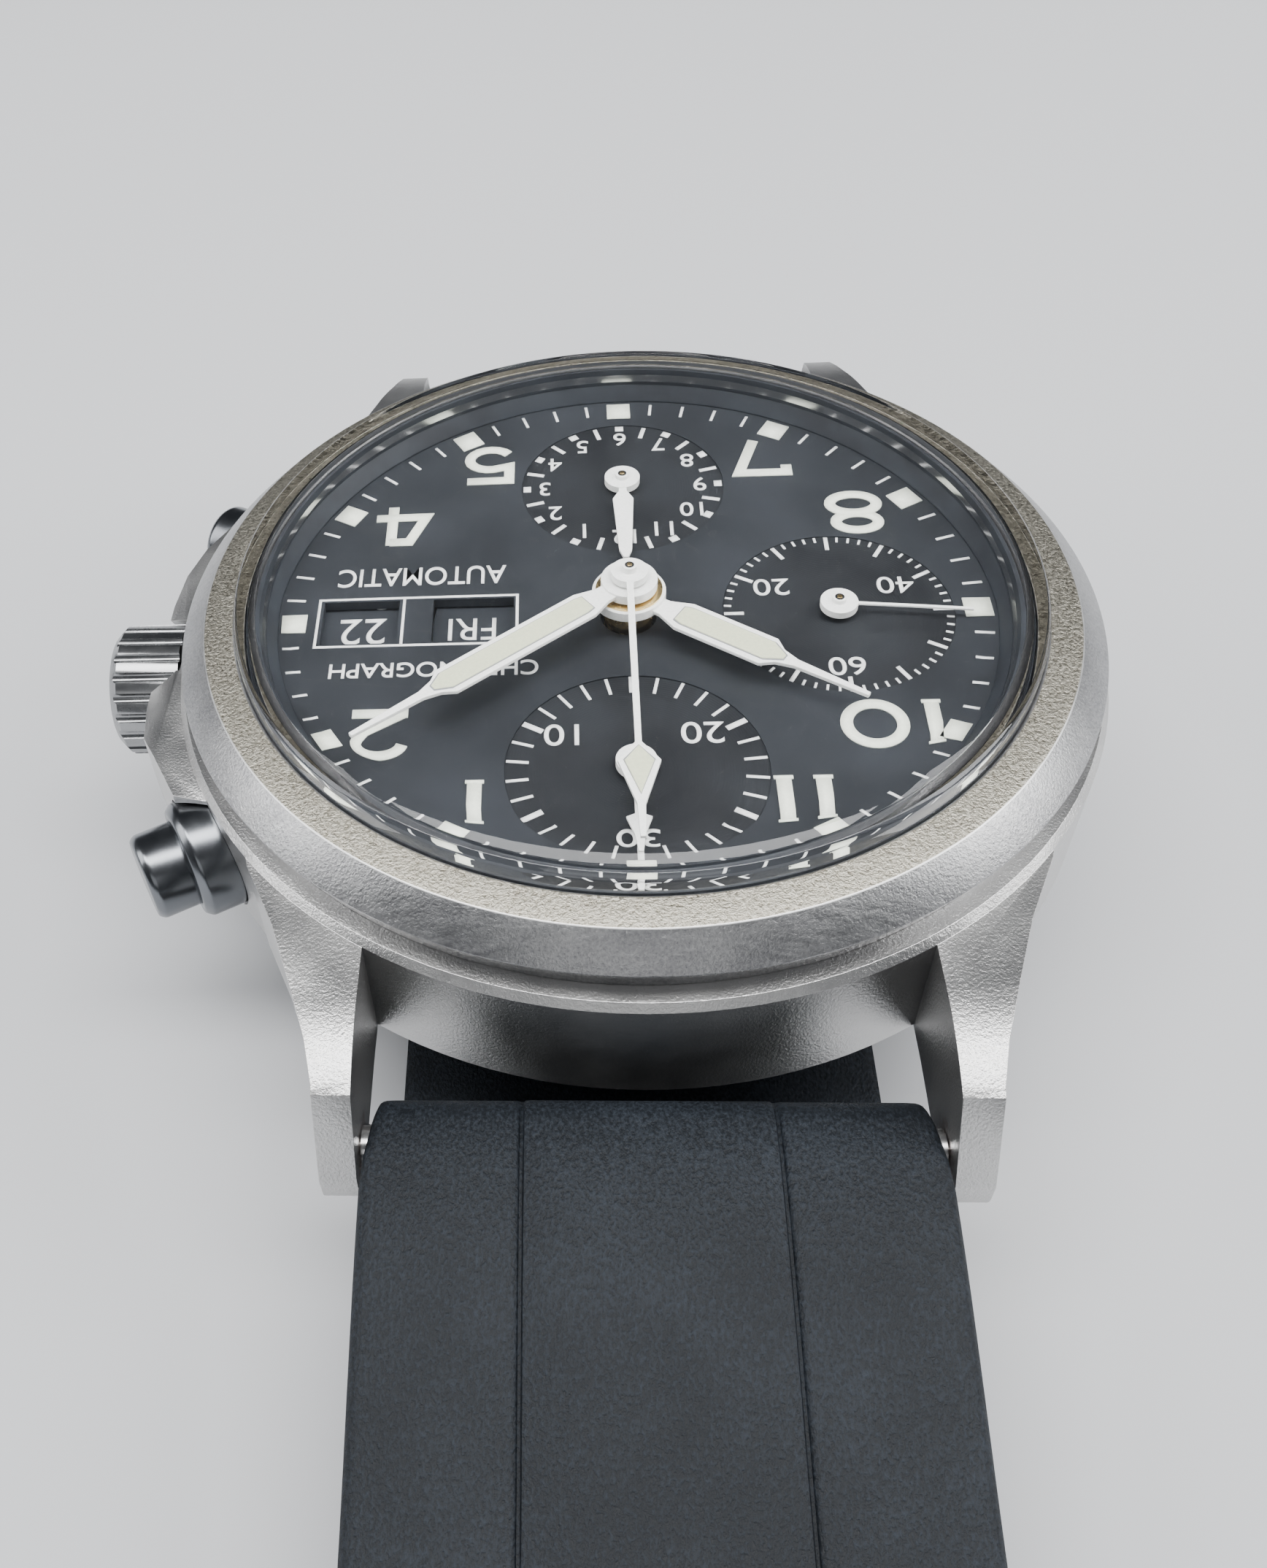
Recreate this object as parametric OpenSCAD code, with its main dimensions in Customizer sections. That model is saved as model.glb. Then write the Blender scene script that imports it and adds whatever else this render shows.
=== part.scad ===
// Wrist chronograph: a mechanical stopwatch in a steel case on a rubber strap.
// +Z leaves the dial, +Y points to 12 o'clock and +X along the winding stem to the crown.
// The origin is on the dial's axis, on the surface that the folded strap lies on.

/* [Case] */
// Diameter of the case body
case_d = 38.5; // [38:0.1:39]
// Height of the case body's upper edge above the bottom of the case back
rim_h = 9.5; // [9.5:0.1:9.6]
// Height of the crystal's top above the bottom of the case back
crystal_h = 14.9; // [14.8:0.1:15.2]
// Length over the lugs
lug_span = 46.9; // [46.6:0.1:47.2]
// Width between the lugs
lug_gap = 20; // [20:0.05:20.1]

/* [Controls] */
// Radius of the crown over its flutes
crown_r = 2.9; // [2.8:0.05:2.95]
// Number of flutes on the crown
crown_flutes = 20; // [18:1:24]
// Angle of each push button from the crown
pusher_angle = 29; // [28.5:0.5:29.5]
// Radius of a push button's cap
cap_r = 1.8; // [1.7:0.05:1.9]
// Travel of a push button
pusher_travel = 0.8; // [0.5:0.1:0.8]

/* [Dial] */
// Distance from the dial's centre to each small counter's centre
counter_offset = 8.5; // [8.5:0.05:8.6]
// Length of the long seconds hand
seconds_len = 13.9; // [13:0.1:13.9]
// Length of the minute hand
minute_len = 13.6; // [12:0.1:13.6]
// Length of the hour hand
hour_len = 10.7; // [9:0.1:11]
// Minutes past ten that the hands show
minutes_shown = 8.75; // [5:0.25:12]

/* [Strap] */
// Thickness of the strap where it lies flat
strap_t = 2.8; // [2.8:0.1:3]
// Width of the strap at the lugs
strap_w = 19.7; // [19.6:0.05:19.75]
// Width of the strap at the buckle
strap_end_w = 18; // [17.5:0.5:18]
// Distance from the dial's axis to the buckle's bar
buckle_y = 98; // [97.5:0.5:99]
// Distance from the dial's axis to the tip of the folded half
tail_y = 75; // [73:0.5:75.5]

/* [Hidden] */
$fn = 96;
eps = 0.01;

// Levels of the head, from the bottom of the case back
rest_gap = 0.2;
back_z = strap_t + rest_gap;
case_r = case_d / 2;
bore_r = 15.75;
body_z = 4.2;
shelf_z = rim_h + 0.3;
bezel_edge_z = rim_h + 2.75;
dial_z = rim_h + 0.5;
dial_t = 0.4;
stem_z = rim_h - 2.8;
button_z = rim_h - 2.9;
bar_y = 21.9;
bar_z = rim_h - 4.3;
bar_r = 0.75;
lug_tip_y = lug_span / 2;

// Levels inside the movement
movement_r = 15;
rotor_z = 1.6;
bridge_z = 3.3;
bridge_t = 0.6;
chrono_z = 4.3;
train_z = 4.95;
plate_z = 7;
plate_top = 8.9;
disc_z = 9.3;
disc_t = 0.2;
play = 0.03;
pivot_r = 0.12;
jewel_r = 0.55;
rod_r = 0.55;
sleeve_r = 0.95;

// Places of the wheels, as seen from the dial
barrel_at = [5, 4.4];
third_at = [-4, -2.8];
fourth_at = [-counter_offset, 0];
escape_at = [-9.2, -4.5];
pallet_at = [-7.4, -5.6];
balance_at = [-4.9, -8.4];
counter_at = [0, counter_offset];
hour_counter_at = [0, -counter_offset];
minute_wheel_at = [2.5, -1.9];
clamp_angles = [60, 180, 300];
pillars = [[11.5, -6.5], [-11.8, 5.5], [0, 12.9], [5.5, -11.8]];
barrel_posts = [[12.7, 2.6], [3.6, 12.7]];
train_posts = [[-13.2, -1.5], [-7.6, 5]];
balance_r = 3.9;

steel = [0.72, 0.72, 0.71];
brass = [0.80, 0.65, 0.36];
rubber = [0.12, 0.13, 0.15];
white = [0.93, 0.93, 0.90];

minute_angle = minutes_shown * 6;
hour_angle = 300 + minutes_shown / 2;
seconds_angle = 276;

// Places a shape at the head's level, above the folded strap
module head() translate([0, 0, back_z]) children();

// Turns a shape clockwise from 12 o'clock
module clock(a) rotate([0, 0, -a]) children();

module at(p, z = 0) translate([p[0], p[1], z]) children();

module disc(r, z0, z1) translate([0, 0, z0]) cylinder(r = r, h = z1 - z0);

module ring(r1, r0, z0, z1) difference() {
    disc(r1, z0, z1);
    disc(r0, z0 - 1, z1 + 1);
}

// Puts a shape drawn about +Z along +X, so that its height runs outwards
module outwards(z) translate([0, 0, z]) rotate([0, 90, 0]) children();

module button_axis(side) rotate([0, 0, side * pusher_angle]) outwards(button_z) children();

module all_lugs() for (m = [0, 1], n = [0, 1]) mirror([m, 0, 0]) mirror([0, n, 0]) children();

// ---- Case ----

// Outline of one lug seen from above
module lug_plan() polygon([
    [lug_gap / 2, 11], [lug_gap / 2, 24.5], [11.3, 24.5], [11.37, 21.6], [11.7, 20.1],
    [12.4, 18.1], [13.45, 15.3], [14.75, 12.6], [15.2, 11]
]);

// Outline of one lug seen from its side, as Y and Z
module lug_side() {
    tip = lug_tip_y;
    crest = [for (t = [0:0.125:1]) [18.2 + 3.7 * t, rim_h - 0.85 * t * t]];
    toe = [for (a = [0:15:90]) [tip - 1 + cos(a), 4.8 - 1.1 * sin(a)]];
    polygon(concat([[10, 4.4], [10, rim_h]], crest, [[tip, rim_h - 3.9]], toe, [[20.6, 4.2], [18, 4.4]]));
}

module lug() intersection() {
    linear_extrude(height = 12) lug_plan();
    translate([20, 0, 0]) rotate([90, 0, -90]) mirror([1, 0, 0]) linear_extrude(height = 20) lug_side();
}

// Faceted shoulder beside the crown
module crown_guard() {
    top = rim_h - 0.15;
    intersection() {
        translate([0, 0, 4.7]) linear_extrude(height = top - 4.7)
            polygon([[15.9, 0.6], [20.6, 0.6], [20.6, 3.3], [20.3, 5.3], [18.3, 8.9], [15.9, 9.5]]);
        translate([0, 12, 0]) rotate([90, 0, 0]) linear_extrude(height = 12)
            polygon([[14, 4], [18.9, 4], [20.6, 6.2], [20.6, top - 0.6], [19.5, top], [14, top]]);
    }
}

module midcase() color(steel) head() difference() {
    union() {
        rotate_extrude() polygon([
            [bore_r, body_z], [18.9, body_z], [case_r, body_z + 0.35], [case_r, rim_h],
            [case_r - 0.25, shelf_z], [bore_r, shelf_z]
        ]);
        difference() {
            all_lugs() lug();
            disc(17, 0, 12);
        }
        for (s = [0, 1]) mirror([0, s, 0]) crown_guard();
    }
    ring(17.4, 16.6, body_z - 1, body_z + 0.42);
    for (s = [-1, 1]) button_axis(s) {
        cylinder(r = sleeve_r, h = 19.2);
        translate([0, 0, 18.6]) cylinder(r = 2.55, h = 6);
    }
    outwards(stem_z) cylinder(r = 1.3, h = 25);
    outwards(stem_z) translate([0, 0, 19.35]) cylinder(r = 3.1, h = 5);
    for (s = [-1, 1]) translate([-11, s * bar_y, bar_z]) rotate([0, 90, 0]) cylinder(r = 0.4, h = 22);
}

// Two-cone bezel with a shadow groove under its lower edge
module bezel() color(steel) head() rotate_extrude() polygon([
    [15.8, shelf_z], [18.3, shelf_z], [18.3, rim_h + 1.4], [18.78, rim_h + 1.45],
    [18.88, rim_h + 1.6], [17.76, bezel_edge_z - 0.06], [17.68, bezel_edge_z],
    [16.5, rim_h + 2.88], [16.4, rim_h + 2.8], [16.4, rim_h + 1.3], [15.8, rim_h + 1.3]
]);

// Points of a shallow dome, from its middle out to radius r
function dome(top, sag, r, n = 12) =
    let (big = (r * r + sag * sag) / (2 * sag))
    [for (i = [0:n]) let (x = r * i / n) [x, top - big + sqrt(big * big - x * x)]];

module crystal() color([0.9, 0.95, 1, 0.35]) head() {
    foot = rim_h + 1.3;
    outer = dome(crystal_h, 1.6, 15.9);
    inner = dome(crystal_h - 1.5, 0.8, 14.8);
    rotate_extrude() polygon(concat(
        outer,
        [for (a = [60:-20:0]) [15.97 + 0.4 * cos(a), rim_h + 3.4 + 0.4 * sin(a)]],
        [[16.37, foot], [15.65, foot], [15.65, rim_h + 2.5], [15.4, rim_h + 2.9]],
        [for (i = [len(inner) - 1:-1:0]) inner[i]]
    ));
}

module tension_ring() color([0.16, 0.15, 0.14]) head() rotate_extrude() polygon([
    [15.3, rim_h + 1.3], [15.62, rim_h + 1.3], [15.62, rim_h + 2.4], [15.4, rim_h + 2.4]
]);

// Sloping ring between the dial and the crystal
module dial_flange() color([0.17, 0.18, 0.2]) head() rotate_extrude() polygon([
    [14.85, dial_z], [15.75, dial_z], [15.75, rim_h + 1.3], [15.35, rim_h + 1.3], [14.85, dial_z + 0.08]
]);

module case_back() color(steel) head() difference() {
    rotate_extrude() polygon([
        [0, 0], [16, 0], [16.6, 0.5], [17.6, 2.9], [18.4, 3.3], [18.4, body_z], [15.72, body_z],
        [15.72, body_z + 0.35], [15.1, body_z + 0.35], [15.1, 1.2], [0, 1.2]
    ]);
    for (i = [0:5]) rotate([0, 0, i * 60 + 30]) translate([17.3, -0.9, 1.5]) cube([2, 1.8, 2]);
}

module back_gasket() color(rubber) head() ring(17.36, 16.64, body_z, body_z + 0.4);

module crown_tube() color(steel) head() outwards(stem_z) difference() {
    translate([0, 0, 16.2]) union() {
        cylinder(r = 1.3, h = 3);
        cylinder(r = 1, h = 3.6);
    }
    cylinder(r = 0.65, h = 25);
}

// Tube with a room for the spring, a close guide for the button's rod and a well for its cap
module button_tube(side) color(steel) head() button_axis(side) difference() {
    union() {
        translate([0, 0, 15.9]) cylinder(r = sleeve_r, h = 3);
        translate([0, 0, 18.6]) cylinder(r = 2.45, h = 2.2);
    }
    cylinder(r = 0.75, h = 18.9);
    cylinder(r = rod_r + 0.05, h = 25);
    translate([0, 0, 19.6]) cylinder(r = cap_r + 0.05, h = 5);
}

module start_tube() button_tube(1);

module reset_tube() button_tube(-1);

module button_springs() color(steel) head() for (s = [-1, 1]) button_axis(s)
    for (i = [0:3]) translate([0, 0, 16.1 + i * 0.8]) ring(0.72, 0.6, 0, 0.16);

module movement_ring() color(brass) head() difference() {
    ring(15.7, 15.06, body_z + 0.4, dial_z - dial_t);
    for (s = [-1, 1]) button_axis(s) cylinder(r = sleeve_r + 0.1, h = 18);
    outwards(stem_z) cylinder(r = 1.4, h = 18);
}

module case_clamps() color(steel) head() for (a = clamp_angles) rotate([0, 0, a]) {
    translate([14.2, 0, plate_z - 0.3]) {
        difference() {
            translate([-0.3, -1, 0]) cube([1.15, 2, 0.3]);
            translate([0, 0, -1]) cylinder(r = 0.35, h = 2);
        }
        translate([0, 0, -0.3]) cylinder(r = 0.6, h = 0.3);
        translate([0, 0, -0.1]) cylinder(r = 0.35, h = 0.9);
    }
}

// ---- Dial and discs ----

module dial() color([0.08, 0.085, 0.09]) head() difference() {
    disc(15.6, dial_z - dial_t, dial_z);
    disc(1.15, 0, 20);
    for (p = [counter_at, hour_counter_at, fourth_at]) at(p) disc(0.35, 0, 20);
    at(counter_at) disc(5, dial_z - 0.06, 20);
    at(hour_counter_at) disc(4.5, dial_z - 0.06, 20);
    at(fourth_at) disc(4.65, dial_z - 0.06, 20);
    translate([4.75, -1.3, 0]) cube([3.4, 2.6, 20]);
    translate([9.6, -1.3, 0]) cube([3.25, 2.6, 20]);
}

// Ring that carries the 31 dates, driven by inner teeth
module date_disc() color([0.1, 0.1, 0.11]) head() difference() {
    disc(13.1, disc_z, disc_z + disc_t);
    disc(9.2, 0, 20);
    for (i = [0:30]) rotate([0, 0, i * 360 / 31]) translate([9.2, 0, 0]) rotate([0, 0, 45])
        cube([0.5, 0.5, 30], center = true);
}

module day_disc() color([0.1, 0.1, 0.11]) head() ring(8.15, 1.06, disc_z, disc_z + disc_t);

// ---- Movement frame ----

// A jewel's hole at each end of an arbor
wheel_places = [third_at, fourth_at, escape_at, pallet_at];

module mainplate() color(brass) head() difference() {
    disc(movement_r, plate_z, plate_top);
    disc(0.65, 0, 20);
    at(minute_wheel_at) disc(0.35, 7.8, 20);
    for (p = concat(wheel_places, [balance_at, barrel_at])) at(p) disc(jewel_r, 0, plate_z + 0.4);
    for (p = [counter_at, hour_counter_at, fourth_at]) at(p) disc(0.29, 0, 20);
    outwards(stem_z) translate([0, 0, 6.4]) cylinder(r = 0.9, h = 12);
    translate([6.4, -2.3, 0]) cube([6.6, 2.3, 7.5]);
    for (a = clamp_angles) rotate([0, 0, a]) translate([14.2, 0, 0]) cylinder(r = 0.36, h = plate_z + 0.7);
    for (p = pillars) at(p) disc(0.4, 0, plate_z + 0.8);
    for (a = [25, 70, 145, 215, 290, 335]) rotate([0, 0, a]) translate([13.9, 0, 0])
        disc(0.4, plate_top - 0.5, 20);
}

// Bridge over the mainspring barrel
module barrel_bridge() color(steel) head() difference() {
    union() {
        translate([0, 0, 4.6]) linear_extrude(height = train_z - 4.6) for (p = barrel_posts) hull() {
            translate(barrel_at) circle(r = 3.4, $fn = 32);
            translate(p) circle(r = 1.1, $fn = 32);
        }
        for (p = barrel_posts) at(p) disc(0.7, 4.6, plate_z);
    }
    at(barrel_at) disc(jewel_r, 0, 20);
    disc(1.6, 0, 20);
    at(counter_at) disc(1, 0, 20);
}

// Bridge that carries the lower pivots of the going train
module train_bridge() color(steel) head() difference() {
    union() {
        translate([0, 0, train_z]) linear_extrude(height = 0.3) polygon([
            [-2.8, -1.6], [-3.3, -4], [-6.1, -4.4], [-6.9, -6.4], [-9.8, -5.6], [-13.4, -2.7],
            [-14, -1.2], [-12.6, 1], [-8.6, 5.4], [-7.2, 5.9], [-6.6, 4.6], [-6.6, 1.6]
        ]);
        for (p = train_posts) at(p) disc(0.55, train_z, plate_z);
    }
    for (p = wheel_places) at(p) disc(jewel_r, 0, 20);
}

// Large plate on the back of the movement, above the rotor
module chronograph_bridge() color(steel) head() difference() {
    union() {
        disc(14.4, bridge_z, bridge_z + bridge_t);
        for (p = pillars) at(p) disc(0.8, bridge_z, plate_z);
    }
    disc(pivot_r + play, 3.5, 20);
    for (p = [counter_at, hour_counter_at]) at(p) disc(pivot_r + play, 3.5, 20);
    at(balance_at) disc(4.3, 0, 20);
    translate([-14.6, -12, 0]) cube([9.8, 5.2, 20]);
    for (p = pillars) at(p) disc(0.4, 0, 20);
}

module balance_cock() color(steel) head() difference() {
    union() {
        translate([0, 0, bridge_z]) linear_extrude(height = bridge_t) polygon([
            [-10.9, -8], [-10.9, -9.8], [-4.6, -9.3], [-4.1, -8.8], [-4.1, -8], [-4.6, -7.5]
        ]);
        at([-9.9, -8.9]) disc(0.8, bridge_z, plate_z);
    }
    at(balance_at) disc(jewel_r, 0, 20);
}

// Ruby bearings, each pressed in flush
module jewels() color([0.75, 0.1, 0.2]) head() {
    for (p = wheel_places) at(p) {
        hole = p == fourth_at ? 0.28 : pivot_r + play;
        ring(jewel_r, pivot_r + play, train_z, train_z + 0.3);
        ring(jewel_r, hole, plate_z, plate_z + 0.4);
    }
    at(balance_at) {
        ring(jewel_r, pivot_r + play, bridge_z, bridge_z + bridge_t);
        ring(jewel_r, pivot_r + play, plate_z, plate_z + 0.4);
    }
    at(barrel_at) {
        ring(jewel_r, 0.33, 4.6, train_z);
        ring(jewel_r, 0.33, plate_z, plate_z + 0.4);
    }
}

module bridge_screws() color([0.25, 0.3, 0.55]) head() for (p = pillars) at(p) difference() {
    union() {
        disc(0.4, bridge_z, plate_z + 0.7);
        disc(0.7, bridge_z - 0.3, bridge_z);
    }
    translate([-1, -0.08, bridge_z - 0.6]) cube([2, 0.16, 0.45]);
}

module rotor_post() color(steel) head() difference() {
    union() {
        disc(1.5, rotor_z, bridge_z);
        disc(2, 2.5, bridge_z);
        disc(1.9, rotor_z - 0.15, rotor_z);
    }
    translate([-2, -0.15, 0]) cube([4, 0.3, rotor_z]);
}

// ---- Going train ----

// Wheel with a toothed rim, crossed out into arms
module toothed(r, z0, t, teeth, arms = 4) difference() {
    disc(r, z0, z0 + t);
    for (i = [0:teeth - 1]) rotate([0, 0, i * 360 / teeth]) translate([r, 0, z0 - 1])
        cylinder(r = PI * r / teeth / 2, h = t + 2, $fn = 6);
    if (arms > 0) for (i = [0:arms - 1]) rotate([0, 0, (i + 0.5) * 360 / arms])
        translate([r * 0.53, 0, z0 - 1]) cylinder(r = r * 0.2, h = t + 2);
}

// Arbor with a pivot at each end, between a bridge at z0 and the mainplate
module arbor(z0, pivot = 0.28) {
    disc(0.3, z0 + play, plate_z - play);
    disc(pivot_r, z0 - pivot, plate_z + pivot);
}

// Ring of leaves on an arbor that a wheel drives
module pinion(r, z0, z1, leaves = 10) difference() {
    disc(r, z0, z1);
    for (i = [0:leaves - 1]) rotate([0, 0, i * 360 / leaves]) translate([r, 0, z0 - 1])
        cylinder(r = PI * r / leaves / 2, h = z1 - z0 + 2, $fn = 6);
}

module mainspring_barrel() color(brass) head() at(barrel_at) {
    toothed(5.2, 5.05, 0.3, 90, 0);
    disc(4.6, 5.05, 6.45);
    disc(0.3, train_z - 0.3, plate_z + 0.35);
    disc(0.7, train_z + play, plate_z - play);
}

module centre_wheel() color(brass) head() difference() {
    union() {
        toothed(4.2, 6.55, 0.2, 80);
        pinion(1.38, 5.02, 5.5, 12);
        disc(0.6, 5, plate_z + 0.5);
    }
    disc(0.25, 0, 20);
}

module third_wheel() color(brass) head() at(third_at) {
    toothed(4, 6.28, 0.18, 75);
    arbor(train_z + 0.3);
    pinion(0.6, 6.5, 6.9);
}

module fourth_wheel() color(brass) head() at(fourth_at) {
    toothed(4, 5.5, 0.18, 84);
    disc(0.3, train_z + 0.3 + play, plate_z - play);
    pinion(1.2, 6.15, 6.6, 10);
    disc(pivot_r, train_z, 7);
    disc(0.25, 6.9, dial_z + 0.6);
}

module escape_wheel() color(steel) head() at(escape_at) {
    difference() {
        disc(1.6, 5.95, 6.1);
        for (i = [0:19]) rotate([0, 0, i * 18]) translate([1.6, 0.1, 5]) cylinder(r = 0.19, h = 3, $fn = 3);
    }
    pinion(0.45, 5.4, 5.8, 7);
    arbor(train_z + 0.3);
}

module pallet_fork() color(steel) head() at(pallet_at) {
    rotate([0, 0, -48]) translate([0, 0, 5.74]) linear_extrude(height = 0.15)
        polygon([[-0.4, 0.5], [-0.5, -0.5], [0.4, -0.28], [2, -0.1], [2, 0.1], [0.4, 0.28]]);
    arbor(train_z + 0.3);
}

module balance_wheel() color(brass) head() at(balance_at) {
    ring(balance_r, 3.4, 4.45, 4.85);
    for (a = [0, 60, 120]) rotate([0, 0, a]) translate([-3.5, -0.2, 4.55]) cube([7, 0.4, 0.2]);
    disc(0.3, bridge_z + bridge_t + play, plate_z - play);
    disc(pivot_r, bridge_z + 0.2, plate_z + 0.3);
    disc(0.8, 5.2, 5.35);
}

// Spiral drawn as flat turns, each a thin ring joined by a short bridge
module hairspring() color([0.3, 0.35, 0.6]) head() at(balance_at) {
    ring(0.5, 0.3, 4.1, 4.3);
    for (i = [0:4]) ring(0.82 + i * 0.3, 0.76 + i * 0.3, 4.15, 4.25);
    for (i = [0:4]) rotate([0, 0, i * 70]) translate([0.45 + i * 0.3, -0.04, 4.15])
        cube([i == 0 ? 0.34 : 0.33, 0.08, 0.1]);
}

// ---- Motion work and hands ----

module cannon_pinion() color(steel) head() difference() {
    disc(0.6, plate_z + 0.5, dial_z + 1.85);
    disc(0.25, 0, 20);
}

module hour_wheel() color(brass) head() difference() {
    union() {
        toothed(1.6, plate_top + 0.06, 0.2, 32, 0);
        disc(1, plate_top + 0.06, dial_z + 1.3);
    }
    disc(0.65, 0, 20);
}

module minute_wheel() color(brass) head() at(minute_wheel_at) {
    toothed(1.45, plate_top + 0.06, 0.2, 30, 0);
    disc(0.31, plate_top - 0.6, plate_top + 0.2);
}

// Lume-filled hand with a chamfered body and a needle tip
module baton(len, body0, body1, half, t) linear_extrude(height = t) polygon([
    [-0.45, 0.6], [-0.45, body0 - 0.9], [-half, body0], [-half, body1 - 0.5], [-0.4, body1],
    [-0.2, body1 + 0.7], [-0.1, len], [0.1, len], [0.2, body1 + 0.7], [0.4, body1],
    [half, body1 - 0.5], [half, body0], [0.45, body0 - 0.9], [0.45, 0.6]
]);

module hour_hand() color(white) head() clock(hour_angle) difference() {
    union() {
        translate([0, 0, dial_z + 1]) baton(hour_len, 2.6, 6.9, 0.8, 0.16);
        disc(1.5, dial_z + 0.9, dial_z + 1.3);
    }
    disc(1, 0, 20);
}

module minute_hand() color(white) head() clock(minute_angle) difference() {
    union() {
        translate([0, 0, dial_z + 1.6]) baton(minute_len, 2.3, 9.6, 0.74, 0.16);
        disc(1.15, dial_z + 1.45, dial_z + 1.85);
    }
    disc(0.6, 0, 20);
}

module chrono_seconds_hand() color(white) head() difference() {
    union() {
        translate([0, 0, dial_z + 2.1]) linear_extrude(height = 0.14) polygon([
            [-0.14, 0], [-0.12, 9.45], [-0.78, 10.35], [-0.15, 12.4], [-0.1, seconds_len],
            [0.1, seconds_len], [0.15, 12.4], [0.78, 10.35], [0.12, 9.45], [0.14, 0]
        ]);
        disc(0.75, dial_z + 1.95, dial_z + 2.25);
        disc(0.3, dial_z + 2.25, dial_z + 2.5);
    }
    disc(0.2, 0, dial_z + 2.35);
}

module chrono_wheel() color(brass) head() {
    toothed(4.3, chrono_z, 0.2, 120, 5);
    disc(0.6, chrono_z - 0.37, chrono_z + 0.5);
    disc(0.2, chrono_z, dial_z + 2.35);
    disc(pivot_r, 3.6, chrono_z);
}

// Small hand on a round boss, drawn from one side of its outline
module small_hand(side) difference() {
    union() {
        translate([0, 0, dial_z + 0.35]) linear_extrude(height = 0.12) polygon(concat(
            [for (p = side) [-p[0], p[1]]],
            [for (i = [len(side) - 1:-1:0]) side[i]]
        ));
        disc(0.78, dial_z + 0.2, dial_z + 0.5);
        disc(0.3, dial_z + 0.5, dial_z + 0.68);
    }
    disc(0.25, 0, dial_z + 0.6);
}

module minute_counter_hand() color(white) head() at(counter_at)
    small_hand([[0.15, 0], [0.15, 2.65], [0.48, 2.8], [0.2, 3.6], [0.09, 4.7]]);

module hour_counter_hand() color(white) head() at(hour_counter_at)
    small_hand([[0.17, 0], [0.17, 0.95], [0.45, 1.5], [0.27, 4.9], [0.1, 5.4]]);

module running_seconds_hand() color(white) head() at(fourth_at) clock(seconds_angle) difference() {
    union() {
        translate([-0.07, 0, dial_z + 0.35]) cube([0.14, 5.3, 0.1]);
        disc(0.76, dial_z + 0.2, dial_z + 0.5);
        disc(0.28, dial_z + 0.5, dial_z + 0.68);
    }
    disc(0.25, 0, dial_z + 0.6);
}

// Wheel under the dial side that carries a counter's hand
module counter_wheel(r, z0, teeth) {
    toothed(r, z0, 0.2, teeth, 4);
    disc(0.45, bridge_z + bridge_t + play, z0 + 0.4);
    disc(0.25, z0, dial_z + 0.6);
    disc(pivot_r, 3.6, z0);
}

module minute_counter_wheel() color(brass) head() at(counter_at) counter_wheel(2.9, chrono_z, 60);

module hour_counter_wheel() color(brass) head() at(hour_counter_at) counter_wheel(2.5, 5.5, 48);

// Half-disc winding weight that turns on the post
module rotor() color([0.7, 0.66, 0.6]) head() difference() {
    union() {
        disc(2.6, rotor_z + 0.05, rotor_z + 0.5);
        intersection() {
            union() {
                ring(14.4, 2.2, rotor_z + 0.05, rotor_z + 0.35);
                ring(14.4, 11.2, rotor_z + 0.05, rotor_z + 1.35);
            }
            translate([-15, -15, 0]) cube([30, 15, 9]);
        }
    }
    disc(1.55, 0, 9);
    for (a = [215, 270, 325]) rotate([0, 0, a]) translate([7, 0, 0]) disc(1.5, 0, 9);
}

// ---- Controls ----

module crown() color(steel) head() outwards(stem_z) difference() {
    union() {
        translate([0, 0, 19.5]) cylinder(r = crown_r, h = 2.75);
        translate([0, 0, 22.25]) cylinder(r1 = crown_r, r2 = crown_r - 0.4, h = 0.4);
    }
    translate([0, 0, 19]) cylinder(r = 1.05, h = 1.05);
    for (i = [0:crown_flutes - 1]) rotate([0, 0, i * 360 / crown_flutes])
        translate([crown_r + 0.03, 0, 19]) cylinder(r = 0.22, h = 5, $fn = 16);
}

module winding_stem() color(steel) head() outwards(stem_z) difference() {
    union() {
        translate([0, 0, 8.4]) cylinder(r = 0.6, h = 11.65);
        translate([0, 0, 8.9]) cylinder(r = 0.8, h = 1.1);
    }
    translate([0, 0, 10.8]) difference() {
        cylinder(r = 1, h = 0.5);
        cylinder(r = 0.35, h = 0.5);
    }
}

// Lever whose pin sits in the stem's groove and travels with it
module setting_lever() color(steel) head() translate([0, 0, stem_z]) {
    translate([9.6, -1.9, -0.15]) cube([2.4, 1, 0.3]);
    translate([10.85, -1, -0.15]) cube([0.4, 0.6, 0.3]);
}

module button(side) color(steel) head() button_axis(side) {
    translate([0, 0, 20.45]) cylinder(r = cap_r, h = 1.85);
    translate([0, 0, 22.3]) cylinder(r1 = cap_r, r2 = cap_r - 0.25, h = 0.3);
    translate([0, 0, 15.85]) cylinder(r = rod_r, h = 4.65);
}

module start_button() button(1);

module reset_button() button(-1);

// ---- Strap ----

module spring_bar(side) color(steel) head() translate([0, side * bar_y, bar_z]) rotate([0, 90, 0]) {
    translate([0, 0, 0.05 - lug_gap / 2]) cylinder(r = bar_r, h = lug_gap - 0.1);
    translate([0, 0, -10.8]) cylinder(r = 0.4, h = 21.6);
}

module spring_bar_12() spring_bar(1);

module spring_bar_6() spring_bar(-1);

bar_top = back_z + bar_z;
half_t = strap_t / 2;
end_r = 1.6;

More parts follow.
